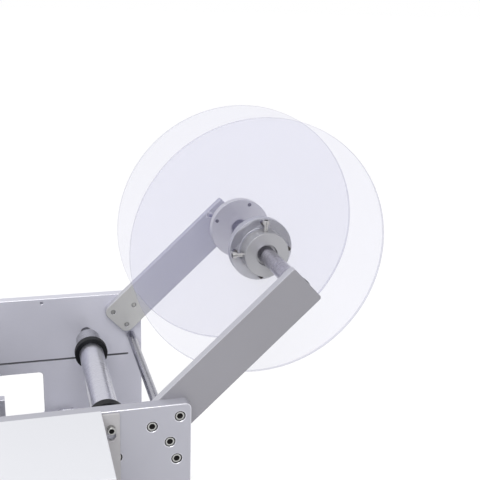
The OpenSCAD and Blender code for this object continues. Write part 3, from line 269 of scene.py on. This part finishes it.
shade_black = moulded("socket_shadow", rgb(34, 33, 33), rough=(0.6, 0.8), grain=300,
                      depth=0.05, gloss=0.2)
groove_dark = moulded("groove_shadow", rgb(92, 92, 97), rough=(0.6, 0.8), grain=300,
                      depth=0.05, gloss=0.2)
far_inner_y, groove_z, groove_front_x = 0.1785, 0.1607, -0.29
groove_half, groove_deep, skin = 0.0011, 0.0012, 0.0001
# The groove's faces get painted shade.
paint_where(far_plate, groove_dark,
            lambda at, way: abs(at.z - groove_z) < groove_half and
            far_inner_y - skin < at.y < far_inner_y + groove_deep and at.x > groove_front_x)


def turned_steel(name, colour, rough=(0.16, 0.3), grain=(0.03, 1, 0.03), metal=1.0):
    """Ground or turned steel, with fine marks round the piece."""
    material, tree, shader = new_material(name)
    marks = object_noise(tree, 3000, detail=2, rough=0.5, stretch=grain)
    tone = object_noise(tree, 60, detail=2, rough=0.5)
    tree.links.new(varied(tree, tone, colour, 0.06), shader.inputs["Base Color"])
    tree.links.new(between(tree, marks, *rough), shader.inputs["Roughness"])
    shader.inputs["Metallic"].default_value = metal
    relief(tree, shader, marks, strength=0.03, distance=0.00002)
    return material


even = (1, 1, 1)    # the grain of a piece whose marks run no particular way
rod_steel = turned_steel("rod_steel", rgb(168, 168, 176), rough=(0.2, 0.34))
screw_zinc = turned_steel("screw_zinc", rgb(170, 170, 168), rough=(0.25, 0.4), grain=even)
screw_black = turned_steel("screw_black", rgb(92, 88, 86), rough=(0.3, 0.45), grain=even,
                           metal=0.8)
dress("tie_rods", rod_steel)


def islands(mesh):
    """The separate solids of a mesh, each as a list of its faces."""
    root = list(range(len(mesh.vertices)))

    def top(v):
        while root[v] != v:
            root[v] = root[root[v]]
            v = root[v]
        return v
    for link in mesh.edges:
        a, b = top(link.vertices[0]), top(link.vertices[1])
        if a != b:
            root[a] = b
    groups = {}
    for face in mesh.polygons:
        groups.setdefault(top(face.vertices[0]), []).append(face)
    return groups.values()


def points_of(mesh, solid):
    return [mesh.vertices[v].co for face in solid for v in face.vertices]


def cap_screws(name, body, material, axis=1, width=0.0005, sunk=False):
    """Socket head screws with eased heads. The inside of the hexagon gets painted shade, and so
    does the rim of a head that is sunk in a counterbore. An axis of None takes each screw's
    longest side."""
    in_hexagon, at_rim = 0.69, 0.86     # parts of the head's radius
    below_top, deepest = 0.00002, 1.1   # metres, and radii of the head
    piece = eased(name, body, material, width, angle=50, fans=True)
    piece.data.materials.append(shade_black)
    for solid in islands(piece.data):
        points = points_of(piece.data, solid)
        low = Vector([min(p[k] for p in points) for k in range(3)])
        high = Vector([max(p[k] for p in points) for k in range(3)])
        long_way = max(range(3), key=lambda k: high[k] - low[k]) if axis is None else axis
        middle = (low + high) / 2
        middle[long_way] = 0
        radius = min(high[k] - low[k] for k in range(3) if k != long_way) / 2
        widest = max(points, key=lambda p: (p - middle).length_squared - p[long_way] ** 2)
        to_low, to_high = widest[long_way] - low[long_way], widest[long_way] - high[long_way]
        head_end = low[long_way] if abs(to_low) < abs(to_high) else high[long_way]
        for face in solid:
            tips = [piece.data.vertices[v].co.copy() for v in face.vertices]
            for tip in tips:
                tip[long_way] = 0
            reaches = [(tip - middle).length / radius for tip in tips]
            dark = max(reaches) < in_hexagon or sunk and min(reaches) > at_rim
            if dark and below_top < abs(face.center[long_way] - head_end) < deepest * radius:
                face.material_index = 1
    return piece


frame_heads = cap_screws("frame_screws", "machine_frame", screw_zinc, sunk=True)
near_outer_y, screw_reach = -0.0915, 0.02
bore_depth, bore_r, slack = 0.0057, 0.0046, 0.0004
bore_axes = []
for solid in islands(frame_heads.data):
    points = points_of(frame_heads.data, solid)
    if min(p.y for p in points) < near_outer_y + screw_reach:
        bore_axes.append((sum(p.x for p in points) / len(points),
                          sum(p.z for p in points) / len(points)))


def in_counterbore(at, way):
    if not near_outer_y + slack < at.y < near_outer_y + bore_depth + slack:
        return False
    return any(math.hypot(at.x - x, at.z - z) < bore_r + slack for x, z in bore_axes)


# The walls and floor of the near plate's counterbores get the same painted shade.
paint_where(near_plate, shade_black, in_counterbore)


# Reel arms. Two flat bars of the same aluminium lean back from the plates at 43 degrees. Each
# is held by three cap screws, and a black plastic bush lines the slot that takes the reel
# shaft.
# The arms are the same anodised aluminium: the near arm's darker colour is painted shade, and
# the far arm's lighter colour is painted light that makes up for the shade the discs cast on
# it.
near_arm_shaded_grey = brushed_aluminium("near_arm_painted_shade", rgb(150, 149, 155))
far_arm_lit_grey = brushed_aluminium("far_arm_painted_light", rgb(197, 197, 196))
arm_side_lit_grey = brushed_aluminium("arm_side_painted_light", rgb(186, 186, 194))
near_bar = eased("near_arm", "machine_frame", near_arm_shaded_grey, width=0.0006)
far_bar = eased("far_arm", "machine_frame", far_arm_lit_grey, width=0.0006)
# The arms' side faces, which face the light, get a lighter copy of the aluminium as painted
# light.
for bar in (near_bar, far_bar):
    paint_where(bar, arm_side_lit_grey, lambda at, way: abs(way.y) < 0.5)
black_plastic = moulded("black_plastic", rgb(10, 11, 15), rough=(0.45, 0.6), gloss=0.25)
cap_screws("arm_screws", "machine_frame", screw_zinc, sunk=True)
dress("shaft_bushes", black_plastic)


# Reel. The label reel is a ground shaft with two turned hubs, each screwed to a clear acrylic
# disc. The discs are cut from sheet, so their rims are flame polished and read as thin darker
# lines.


def turned_aluminium(name, colour, metal=0.5, rough=(0.3, 0.42), marks=0.04):
    """Turned and anodised aluminium, with its marks round the axle."""
    return brushed_aluminium(name, colour, (0.03, 1, 0.03), metal, rough, marks)


hub_grey = turned_aluminium("hub_turned", rgb(170, 170, 174))
# The far hub is the same turned aluminium as the near one; its lighter colour is painted light.
far_hub_lit_grey = turned_aluminium("far_hub_painted_light", rgb(198, 197, 200), metal=0.45)
flange_face_lit_grey = turned_aluminium("flange_painted_light", rgb(204, 204, 206))
shaft_steel = turned_steel("shaft_steel", rgb(165, 163, 172), rough=(0.22, 0.36))
dress("reel_shaft", shaft_steel)
near_turned = eased("near_hub", "near_reel_side", hub_grey, width=0.0004)
boss_front = min(corner.co.y for corner in near_turned.data.vertices)
# The near flange's front face, shaded by the boss, gets a lighter copy of the hub's aluminium
# as painted light.
behind_boss = 0.01
paint_where(near_turned, flange_face_lit_grey,
            lambda at, way: way.y < -0.9 and at.y > boss_front + behind_boss)
eased("far_hub", "far_reel_side", far_hub_lit_grey, width=0.0004)

# The lock screws in the bosses are bright, and the disc screws, which lie along the axle, are
# blackened.
lock_zinc = turned_steel("lock_screw_zinc", rgb(172, 171, 172), rough=(0.18, 0.28), grain=even)
for name, body in (("near_hub_screws", "near_reel_side"), ("far_hub_screws", "far_reel_side")):
    screws = cap_screws(name, body, lock_zinc, axis=None, width=0.0002)
    screws.data.materials.append(screw_black)
    for solid in islands(screws.data):
        points = points_of(screws.data, solid)
        spans = [max(p[k] for p in points) - min(p[k] for p in points) for k in range(3)]
        if spans[1] == max(spans):
            for face in solid:
                if face.material_index == 0:
                    face.material_index = 2


def clear_acrylic(name, face, rim, face_alpha, rim_alpha, centre, rim_from):
    """Clear sheet whose cut rim is denser than its faces; centre is the disc's axle."""
    material, tree, shader = new_material(name)
    coords = tree.nodes.new("ShaderNodeTexCoord")
    shift = tree.nodes.new("ShaderNodeMapping")
    shift.inputs["Location"].default_value = (-centre[0], 0, -centre[1])
    shift.inputs["Scale"].default_value = (1, 0, 1)
    reach = tree.nodes.new("ShaderNodeVectorMath")
    reach.operation = "LENGTH"
    tree.links.new(coords.outputs["Object"], shift.inputs["Vector"])
    tree.links.new(shift.outputs["Vector"], reach.inputs[0])
    edge = tree.nodes.new("ShaderNodeMapRange")
    edge.inputs["From Min"].default_value = rim_from
    edge.inputs["From Max"].default_value = rim_from + 0.0003
    tree.links.new(reach.outputs["Value"], edge.inputs["Value"])
    haze = object_noise(tree, 14, detail=3, rough=0.5)
    tint = tree.nodes.new("ShaderNodeMix")
    tint.data_type = "RGBA"
    tint.inputs[7].default_value = rim
    tree.links.new(edge.outputs["Result"], tint.inputs[0])
    tree.links.new(varied(tree, haze, face, 0.03), tint.inputs[6])
    tree.links.new(tint.outputs[2], shader.inputs["Base Color"])
    clear = tree.nodes.new("ShaderNodeMapRange")
    clear.inputs["To Min"].default_value = face_alpha
    clear.inputs["To Max"].default_value = rim_alpha
    tree.links.new(edge.outputs["Result"], clear.inputs["Value"])
    tree.links.new(clear.outputs["Result"], shader.inputs["Alpha"])
    shader.inputs["Roughness"].default_value = 0.08
    shader.inputs["IOR"].default_value = 1.49
    return material


axle_x, axle_z = 0.1737, 0.3243
clear_sheet = clear_acrylic("disc_clear", face=rgb(184, 184, 226), rim=rgb(172, 172, 200),
                            face_alpha=0.104, rim_alpha=0.4, centre=(axle_x, axle_z),
                            rim_from=0.1296)
eased("near_disc", "near_reel_side", clear_sheet, width=0.0003)
eased("far_disc", "far_reel_side", clear_sheet, width=0.0003)


# Guide rollers. The web runs over two satin tubes on fixed axles. The upper one has black
# moulded flanges between two plain stop collars; ball bearings sit inside both tubes' ends.
roller_grey = turned_aluminium("roller_turned", rgb(198, 198, 209), metal=0.9,
                               rough=(0.24, 0.32), marks=0.02)
collar_grey = turned_aluminium("collar_turned", rgb(166, 166, 171), metal=0.8,
                               rough=(0.24, 0.34), marks=0.03)
# The guide axles are ground steel; their dark colour is painted shade, as they sit in deep
# shade by the far plate.
axle_shaded_steel = turned_steel("axle_painted_shade", rgb(70, 70, 76), rough=(0.25, 0.4))
dress("guide_axles", axle_shaded_steel)
dress("roller_bearings", rod_steel)
eased("guide_collars", "machine_frame", collar_grey, width=0.0006)
eased("guide_roller", "upper_guide", roller_grey, width=0.0003)
eased("guide_flanges", "upper_guide", black_plastic, width=0.0008, segments=3)
eased("front_guide_roller", "front_guide", roller_grey, width=0.0005)


# Peel plate and sensor. Labels leave the backing at the thin edge of a milled wedge. A black
# photocell slides above it on a ground rod that screws hold between the side plates.
eased("peel_plate", "machine_frame", plate_grey, width=0.0003)
dress("slide_rods", rod_steel)
dress("pivot_shafts", rod_steel)
eased("label_sensor", "sensor", black_plastic, width=0.0008, segments=3)


# Feed drive. The backing is pulled by a rubber-covered roller, against which a small pinch
# roller in a swinging painted steel frame presses.
roller_rubber = moulded("roller_rubber", rgb(36, 36, 38), rough=(0.5, 0.66), grain=2200,
                        depth=0.25)
dark_paint = moulded("dark_paint", rgb(60, 61, 65), rough=(0.32, 0.44), grain=500, depth=0.08)
eased("drive_roller", "feed_roller", roller_grey, width=0.0005)
eased("drive_rubber", "feed_roller", roller_rubber, width=0.0006)
eased("pinch_frame", "pinch", dark_paint, width=0.0005)
eased("pinch_roller", "pinch_wheel", roller_rubber, width=0.0006)


# Bottle rollers and press arm. The bottle lies between a driven rubber roller and a plain one,
# and the press roller on its two hinged arms holds it down. A grip sleeve covers the bar that
# joins the arms.
eased("bottle_roller", "driven_bottle_roller", roller_grey, width=0.0005)
eased("bottle_rubber", "driven_bottle_roller", roller_rubber, width=0.0006)
eased("idle_roller", "idle_bottle_roller", roller_grey, width=0.0005)
eased("press_arms", "press", plate_grey, width=0.0006)
eased("press_handle", "press", roller_rubber, width=0.002, segments=4)
eased("press_roller", "press_wheel", roller_rubber, width=0.0006)


# Bottle stop. A clamp block with a flat fence slides on the front rod and stops the bottle's
# base; a fluted black knob locks it.
eased("bottle_stop", "stop", plate_grey, width=0.0006)
eased("stop_knob", "clamp_knob", black_plastic, width=0.0006, segments=3)


# Backing rewind. The empty backing winds on a turned spindle with one flange, held by a bent
# wire clip that lies in a groove along it.
eased("rewind_spindle", "rewind", roller_grey, width=0.0005)
dress("liner_clip", rod_steel)


# Motor, pulleys and belts. A geared motor is screwed inside the control-side plate. Outside it,
# a timing belt turns both driven rollers, and a plain belt turns the rewind through its
# slipping pulley.
pulley_grey = brushed_aluminium("pulley_turned", rgb(190, 190, 194), grain=(1, 0.05, 1))
belt_black = moulded("belt_black", rgb(34, 34, 36), rough=(0.55, 0.7), grain=2500, depth=0.3)
eased("gear_motor", "machine_frame", dark_paint, width=0.0008, segments=3)
for name in ("motor_pulleys", "bottle_pulley", "drive_pulley", "rewind_pulley"):
    dress(name, pulley_grey)
for name in ("timing_belt", "rewind_belt"):
    dress(name, belt_black)


# Control box. The drive is covered by a white powder-coated box of folded sheet. It sits on a
# painted steel plate that shows as a warmer grey strip behind it, with proud cap screws.


def powder_coat(name, colour, rough=(0.34, 0.42)):
    """Baked powder coat: a faint orange-peel wave and an even colour."""
    material, tree, shader = new_material(name)
    wave = object_noise(tree, 420, detail=2, rough=0.4)
    tone = object_noise(tree, 6, detail=2, rough=0.4)
    tree.links.new(varied(tree, tone, colour, 0.015), shader.inputs["Base Color"])
    tree.links.new(between(tree, wave, *rough), shader.inputs["Roughness"])
    relief(tree, shader, wave, strength=0.06, distance=0.00008)
    return material


white_coat = powder_coat("white_coat", rgb(224, 225, 230))
strip_grey = powder_coat("strip_grey", rgb(186, 184, 186), rough=(0.4, 0.5))
eased("mounting_plate", "machine_frame", strip_grey, width=0.0003)
eased("control_cover", "machine_frame", white_coat, width=0.0005)
cap_screws("cover_screws", "machine_frame", screw_zinc, axis=None)


# Controls. The sloping face carries a counter window, three keys, the delay dial and a latching
# red stop button, all moulded. The power socket and its rocker sit low in the box's rear wall.
display_black = moulded("display_black", rgb(26, 29, 33), rough=(0.05, 0.1), grain=60,
                        depth=0.0, coat=0.6)
key_blue = moulded("key_blue", rgb(70, 105, 160))
key_green = moulded("key_green", rgb(70, 140, 90))
signal_red = moulded("signal_red", rgb(196, 40, 34), rough=(0.2, 0.3), grain=300, depth=0.05,
                     coat=0.4)
eased("display_window", "machine_frame", display_black, width=0.0003)
eased("key_up", "up_key", key_blue, width=0.0006, segments=3)
eased("key_down", "down_key", key_blue, width=0.0006, segments=3)
eased("key_set", "set_key", key_green, width=0.0006, segments=3)
eased("delay_dial", "dial", black_plastic, width=0.0007, segments=3)
eased("stop_button", "emergency_button", signal_red, width=0.0012, segments=4)
pin_nickel = turned_steel("pin_nickel", rgb(200, 198, 190), rough=(0.15, 0.25), grain=even)
inlet = eased("power_inlet", "machine_frame", black_plastic, width=0.0003)
inlet_y, socket_z, pin_pitch = -0.1535, 0.0746, 0.0054
pin_rear_x, pin_front_x = -0.0012, -0.0242
pin_half_y, pin_half_z, row_half_y = 0.0008, 0.0052, 0.0075


def on_a_pin(at, way):
    """The socket's three flat pins stand side by side."""
    if not (pin_front_x < at.x < pin_rear_x and abs(at.z - socket_z) < pin_half_z and
            abs(at.y - inlet_y) < row_half_y):
        return False
    return min(abs(at.y - inlet_y - k * pin_pitch) for k in (-1, 0, 1)) < pin_half_y


paint_where(inlet, pin_nickel, on_a_pin)
eased("power_switch", "rocker", signal_red, width=0.0005)

# The panel slopes at 45 degrees. down runs down the slope, out leaves its face, and a reader
# standing at the operator's end sees +side on the left.
panel_start = Vector((-0.1489, -0.142, 0.235))
down = Vector((-math.sqrt(0.5), 0, -math.sqrt(0.5)))
out = Vector((-math.sqrt(0.5), 0, math.sqrt(0.5)))
panel_turn = Matrix((down, Vector((0, -1, 0)), out)).transposed().to_4x4()


def on_panel(v, side, lift):
    """The placing of a piece v down the slope, side across it and lift off its face."""
    return Matrix.Translation(
        panel_start + down * v + Vector((0, side, 0)) + out * lift) @ panel_turn


def panel_bar(v, side, lift, length, width, height, turn=0.0):
    """A thin raised bar on the panel, its length down the slope before it is turned."""
    bpy.ops.object.select_all(action="DESELECT")
    bpy.ops.mesh.primitive_cube_add(size=1.0)
    bar = bpy.context.active_object
    bar.scale = (length, width, height)
    bpy.ops.object.transform_apply(location=False, rotation=False, scale=True)
    bpy.ops.object.mode_set(mode="EDIT")
    bpy.ops.mesh.select_all(action="SELECT")
    bpy.ops.mesh.bevel(offset=min(width, height) * 0.3, segments=2, affect="EDGES")
    bpy.ops.object.mode_set(mode="OBJECT")
    bar.matrix_world = on_panel(v, side, lift) @ Matrix.Rotation(turn, 4, "Z")
    return bar


def own_mesh(name, material, body):
    """Finishes the active new piece: place into its mesh, smooth by angle, finish and body."""
    piece = bpy.context.active_object
    piece.name = name
    bpy.ops.object.transform_apply(location=True, rotation=True, scale=True)
    bpy.ops.object.shade_smooth_by_angle(angle=math.radians(35))
    piece.data.materials.clear()
    piece.data.materials.append(material)
    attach(piece, body)


def joined(parts, name, material, body):
    bpy.ops.object.select_all(action="DESELECT")
    for part in parts:
        part.select_set(True)
    bpy.context.view_layer.objects.active = parts[0]
    bpy.ops.object.join()
    own_mesh(name, material, body)


# Counter digits: seven bars each, lit segments of a plain four-figure count. Each bar has its
# steps down and to the left from the digit's middle, and whether it runs across.
digit_green = moulded("digit_green", rgb(120, 235, 120), rough=(0.3, 0.4), grain=60, depth=0.0)
glow = digit_green.node_tree.nodes["Principled BSDF"].inputs
glow["Emission Color"].default_value = rgb(90, 240, 110)
glow["Emission Strength"].default_value = 0.6
display_mid, digit_pitch = 0.030, 0.0112
digit_h, digit_w, stroke, digit_thick, digit_lift = 0.0135, 0.0068, 0.0011, 0.00025, 0.00004
bars = {"top": (-1, 0, True), "mid": (0, 0, True), "low": (1, 0, True),
        "upper_left": (-0.5, 1, False), "upper_right": (-0.5, -1, False),
        "lower_left": (0.5, 1, False), "lower_right": (0.5, -1, False)}
figures = {"0": ("top", "low", "upper_left", "upper_right", "lower_left", "lower_right"),
           "1": ("upper_right", "lower_right"),
           "2": ("top", "upper_right", "mid", "lower_left", "low"),
           "8": ("top", "upper_left", "upper_right", "mid", "lower_left", "lower_right", "low")}
segments = []
for place, figure in enumerate("0128"):
    middle = (1.5 - place) * digit_pitch
    for bar in figures[figure]:
        step, left, across = bars[bar]
        segments.append(panel_bar(
            display_mid + step * digit_h / 2, middle + left * digit_w / 2, digit_lift,
            stroke if across else digit_h / 2 - 1.2 * stroke,
            digit_w - 1.2 * stroke if across else stroke, digit_thick))
joined(segments, "counter_digits", digit_green, "machine_frame")

# Raised marks on the keys: two arrowheads and a bar, printed white.
mark_white = moulded("mark_white", rgb(225, 226, 228), rough=(0.4, 0.5), grain=400, depth=0.05)
key_row, key_pitch, key_top = 0.060, 0.018, 0.00305
mark_w, mark_thick = 0.0009, 0.0004


def arrowhead(side, tip_way, name, body):
    """Two slanted strokes that meet in a tip, up the slope at -1 and down it at 1."""
    length, apart, shift, slant = 0.0036, 0.0012, 0.0004, math.radians(-42)
    strokes = [panel_bar(key_row + tip_way * shift, side + k * apart, key_top, length, mark_w,
                         mark_thick, tip_way * k * slant) for k in (-1, 1)]
    joined(strokes, name, mark_white, body)


arrowhead(-key_pitch, -1, "key_up_arrow", "up_key")
arrowhead(0.0, 1, "key_down_arrow", "down_key")
set_mark = 0.0042
joined([panel_bar(key_row, key_pitch, key_top, mark_w, set_mark, mark_thick)],
       "key_set_bar", mark_white, "set_key")

# The dial's pointer is a filled white line, and eleven fine ticks stand round it on the panel.
dial_v, dial_side, dial_top = 0.098, 0.022, 0.01245
pointer_at, pointer_len, pointer_thick = 0.0062, 0.0042, 0.0005
joined([panel_bar(dial_v + pointer_at, dial_side, dial_top, pointer_len, mark_w,
                  pointer_thick)],
       "dial_pointer", mark_white, "dial")
tick_ink = moulded("tick_ink", rgb(40, 42, 46), rough=(0.5, 0.6), grain=400, depth=0.03)
tick_reach, tick_lift, tick_w, tick_thick = 0.0142, 0.00005, 0.0005, 0.0002
tick_short, tick_long = 0.0022, 0.0034
ticks = []
for k in range(11):
    turn = math.radians(-135 + 27 * k)
    ticks.append(panel_bar(
        dial_v - math.cos(turn) * tick_reach, dial_side - math.sin(turn) * tick_reach,
        tick_lift, tick_short if k % 5 else tick_long, tick_w, tick_thick, turn))
joined(ticks, "dial_ticks", tick_ink, "machine_frame")

# A flat yellow plate ring lies under the red button's head.
ring_yellow = moulded("ring_yellow", rgb(226, 186, 30), rough=(0.4, 0.5), grain=400, depth=0.06)
stop_side, ring_r, ring_hole_r = -0.022, 0.0178, 0.0086
ring_thick, ring_lift = 0.0003, 0.00002
bpy.ops.object.select_all(action="DESELECT")
bpy.ops.mesh.primitive_circle_add(vertices=96, radius=ring_r, fill_type="NGON")
bpy.ops.object.mode_set(mode="EDIT")
bpy.ops.mesh.inset(thickness=ring_r - ring_hole_r)
bpy.ops.mesh.delete(type="FACE")
bpy.ops.mesh.select_all(action="SELECT")
bpy.ops.mesh.extrude_region_move(TRANSFORM_OT_translate={"value": (0, 0, ring_thick)})
bpy.ops.mesh.select_all(action="SELECT")
bpy.ops.mesh.normals_make_consistent(inside=False)
bpy.ops.object.mode_set(mode="OBJECT")
ring = bpy.context.active_object
soft = ring.modifiers.new("soft_edges", "BEVEL")
soft.width = 0.0001
soft.segments = 2
soft.limit_method = "ANGLE"
soft.angle_limit = math.radians(30)
bpy.ops.object.modifier_apply(modifier=soft.name)
ring.matrix_world = on_panel(dial_v, stop_side, ring_lift)
own_mesh("stop_button_ring", ring_yellow, "machine_frame")


# Control board. A green glass-fibre board with its larger parts stands on four posts inside the
# box.
board_green = moulded("board_green", rgb(40, 110, 72), rough=(0.25, 0.4), grain=700, depth=0.1)
dress("control_board", board_green)


# Floor and light. The machine stands on a seamless white table in a light tent, with a large
# soft lamp above the camera and a weaker one behind the machine at its left.


def seen_straight(tree):
    """1 where the camera looks, mirrored or through clear sheet too, and 0 for soft light."""
    path = tree.nodes.new("ShaderNodeLightPath")
    pieces = tree.nodes.new("ShaderNodeMath")
    pieces.operation = "MAXIMUM"
    tree.links.new(path.outputs["Is Glossy Ray"], pieces.inputs[0])
    tree.links.new(path.outputs["Is Transmission Ray"], pieces.inputs[1])
    seen = tree.nodes.new("ShaderNodeMath")
    seen.operation = "MAXIMUM"
    tree.links.new(path.outputs["Is Camera Ray"], seen.inputs[0])
    tree.links.new(pieces.outputs[0], seen.inputs[1])
    return seen.outputs[0]


table_white, tree, shader = new_material("white_table")
shader.inputs["Roughness"].default_value = 0.7
seen = seen_straight(tree)
tone = object_noise(tree, 3, detail=2, rough=0.4)
table_seen = ramp(tree, tone, rgb(204, 204, 206), rgb(210, 210, 212))
table_lighting = rgb(158, 158, 159)
glow_share = 0.75
lit = tree.nodes.new("ShaderNodeMix")
lit.data_type = "RGBA"
tree.links.new(seen, lit.inputs[0])
tree.links.new(table_seen, lit.inputs[6])
lit.inputs[7].default_value = table_lighting
tree.links.new(lit.outputs[2], shader.inputs["Base Color"])
share = tree.nodes.new("ShaderNodeMath")
share.operation = "MULTIPLY"
share.inputs[1].default_value = glow_share
tree.links.new(seen, share.inputs[0])
shader.inputs["Emission Color"].default_value = (1, 1, 1, 1)
tree.links.new(share.outputs[0], shader.inputs["Emission Strength"])
bpy.ops.mesh.primitive_plane_add(size=60.0, location=(0, 0, 0))
floor = bpy.context.active_object
floor.name = "table_top"
floor.data.materials.append(table_white)

world = bpy.data.worlds.new("light_tent")
bpy.context.scene.world = world
world.use_nodes = True
tent = world.node_tree
tent_light, tent_seen = 0.50, 1.0
level = tent.nodes.new("ShaderNodeMapRange")
level.inputs["To Min"].default_value = tent_light
level.inputs["To Max"].default_value = tent_seen
tent.links.new(seen_straight(tent), level.inputs["Value"])
tent.links.new(level.outputs["Result"], tent.nodes["Background"].inputs["Strength"])
tent.nodes["Background"].inputs["Color"].default_value = (1, 1, 1, 1)


def soft_lamp(name, place, size, power):
    """A square area lamp in metres and watts, aimed at the middle of the machine."""
    bpy.ops.object.light_add(type="AREA", location=place)
    lamp = bpy.context.active_object
    lamp.name = name
    lamp.data.size = size
    lamp.data.energy = power
    aim = Vector((0, 0, 0.2)) - Vector(place)
    lamp.rotation_euler = aim.to_track_quat("-Z", "Y").to_euler()


soft_lamp("front_lamp", (-0.35, -1.35, 1.6), size=1.4, power=27)
soft_lamp("back_left_lamp", (-1.3, 0.4, 1.2), size=1.0, power=5)
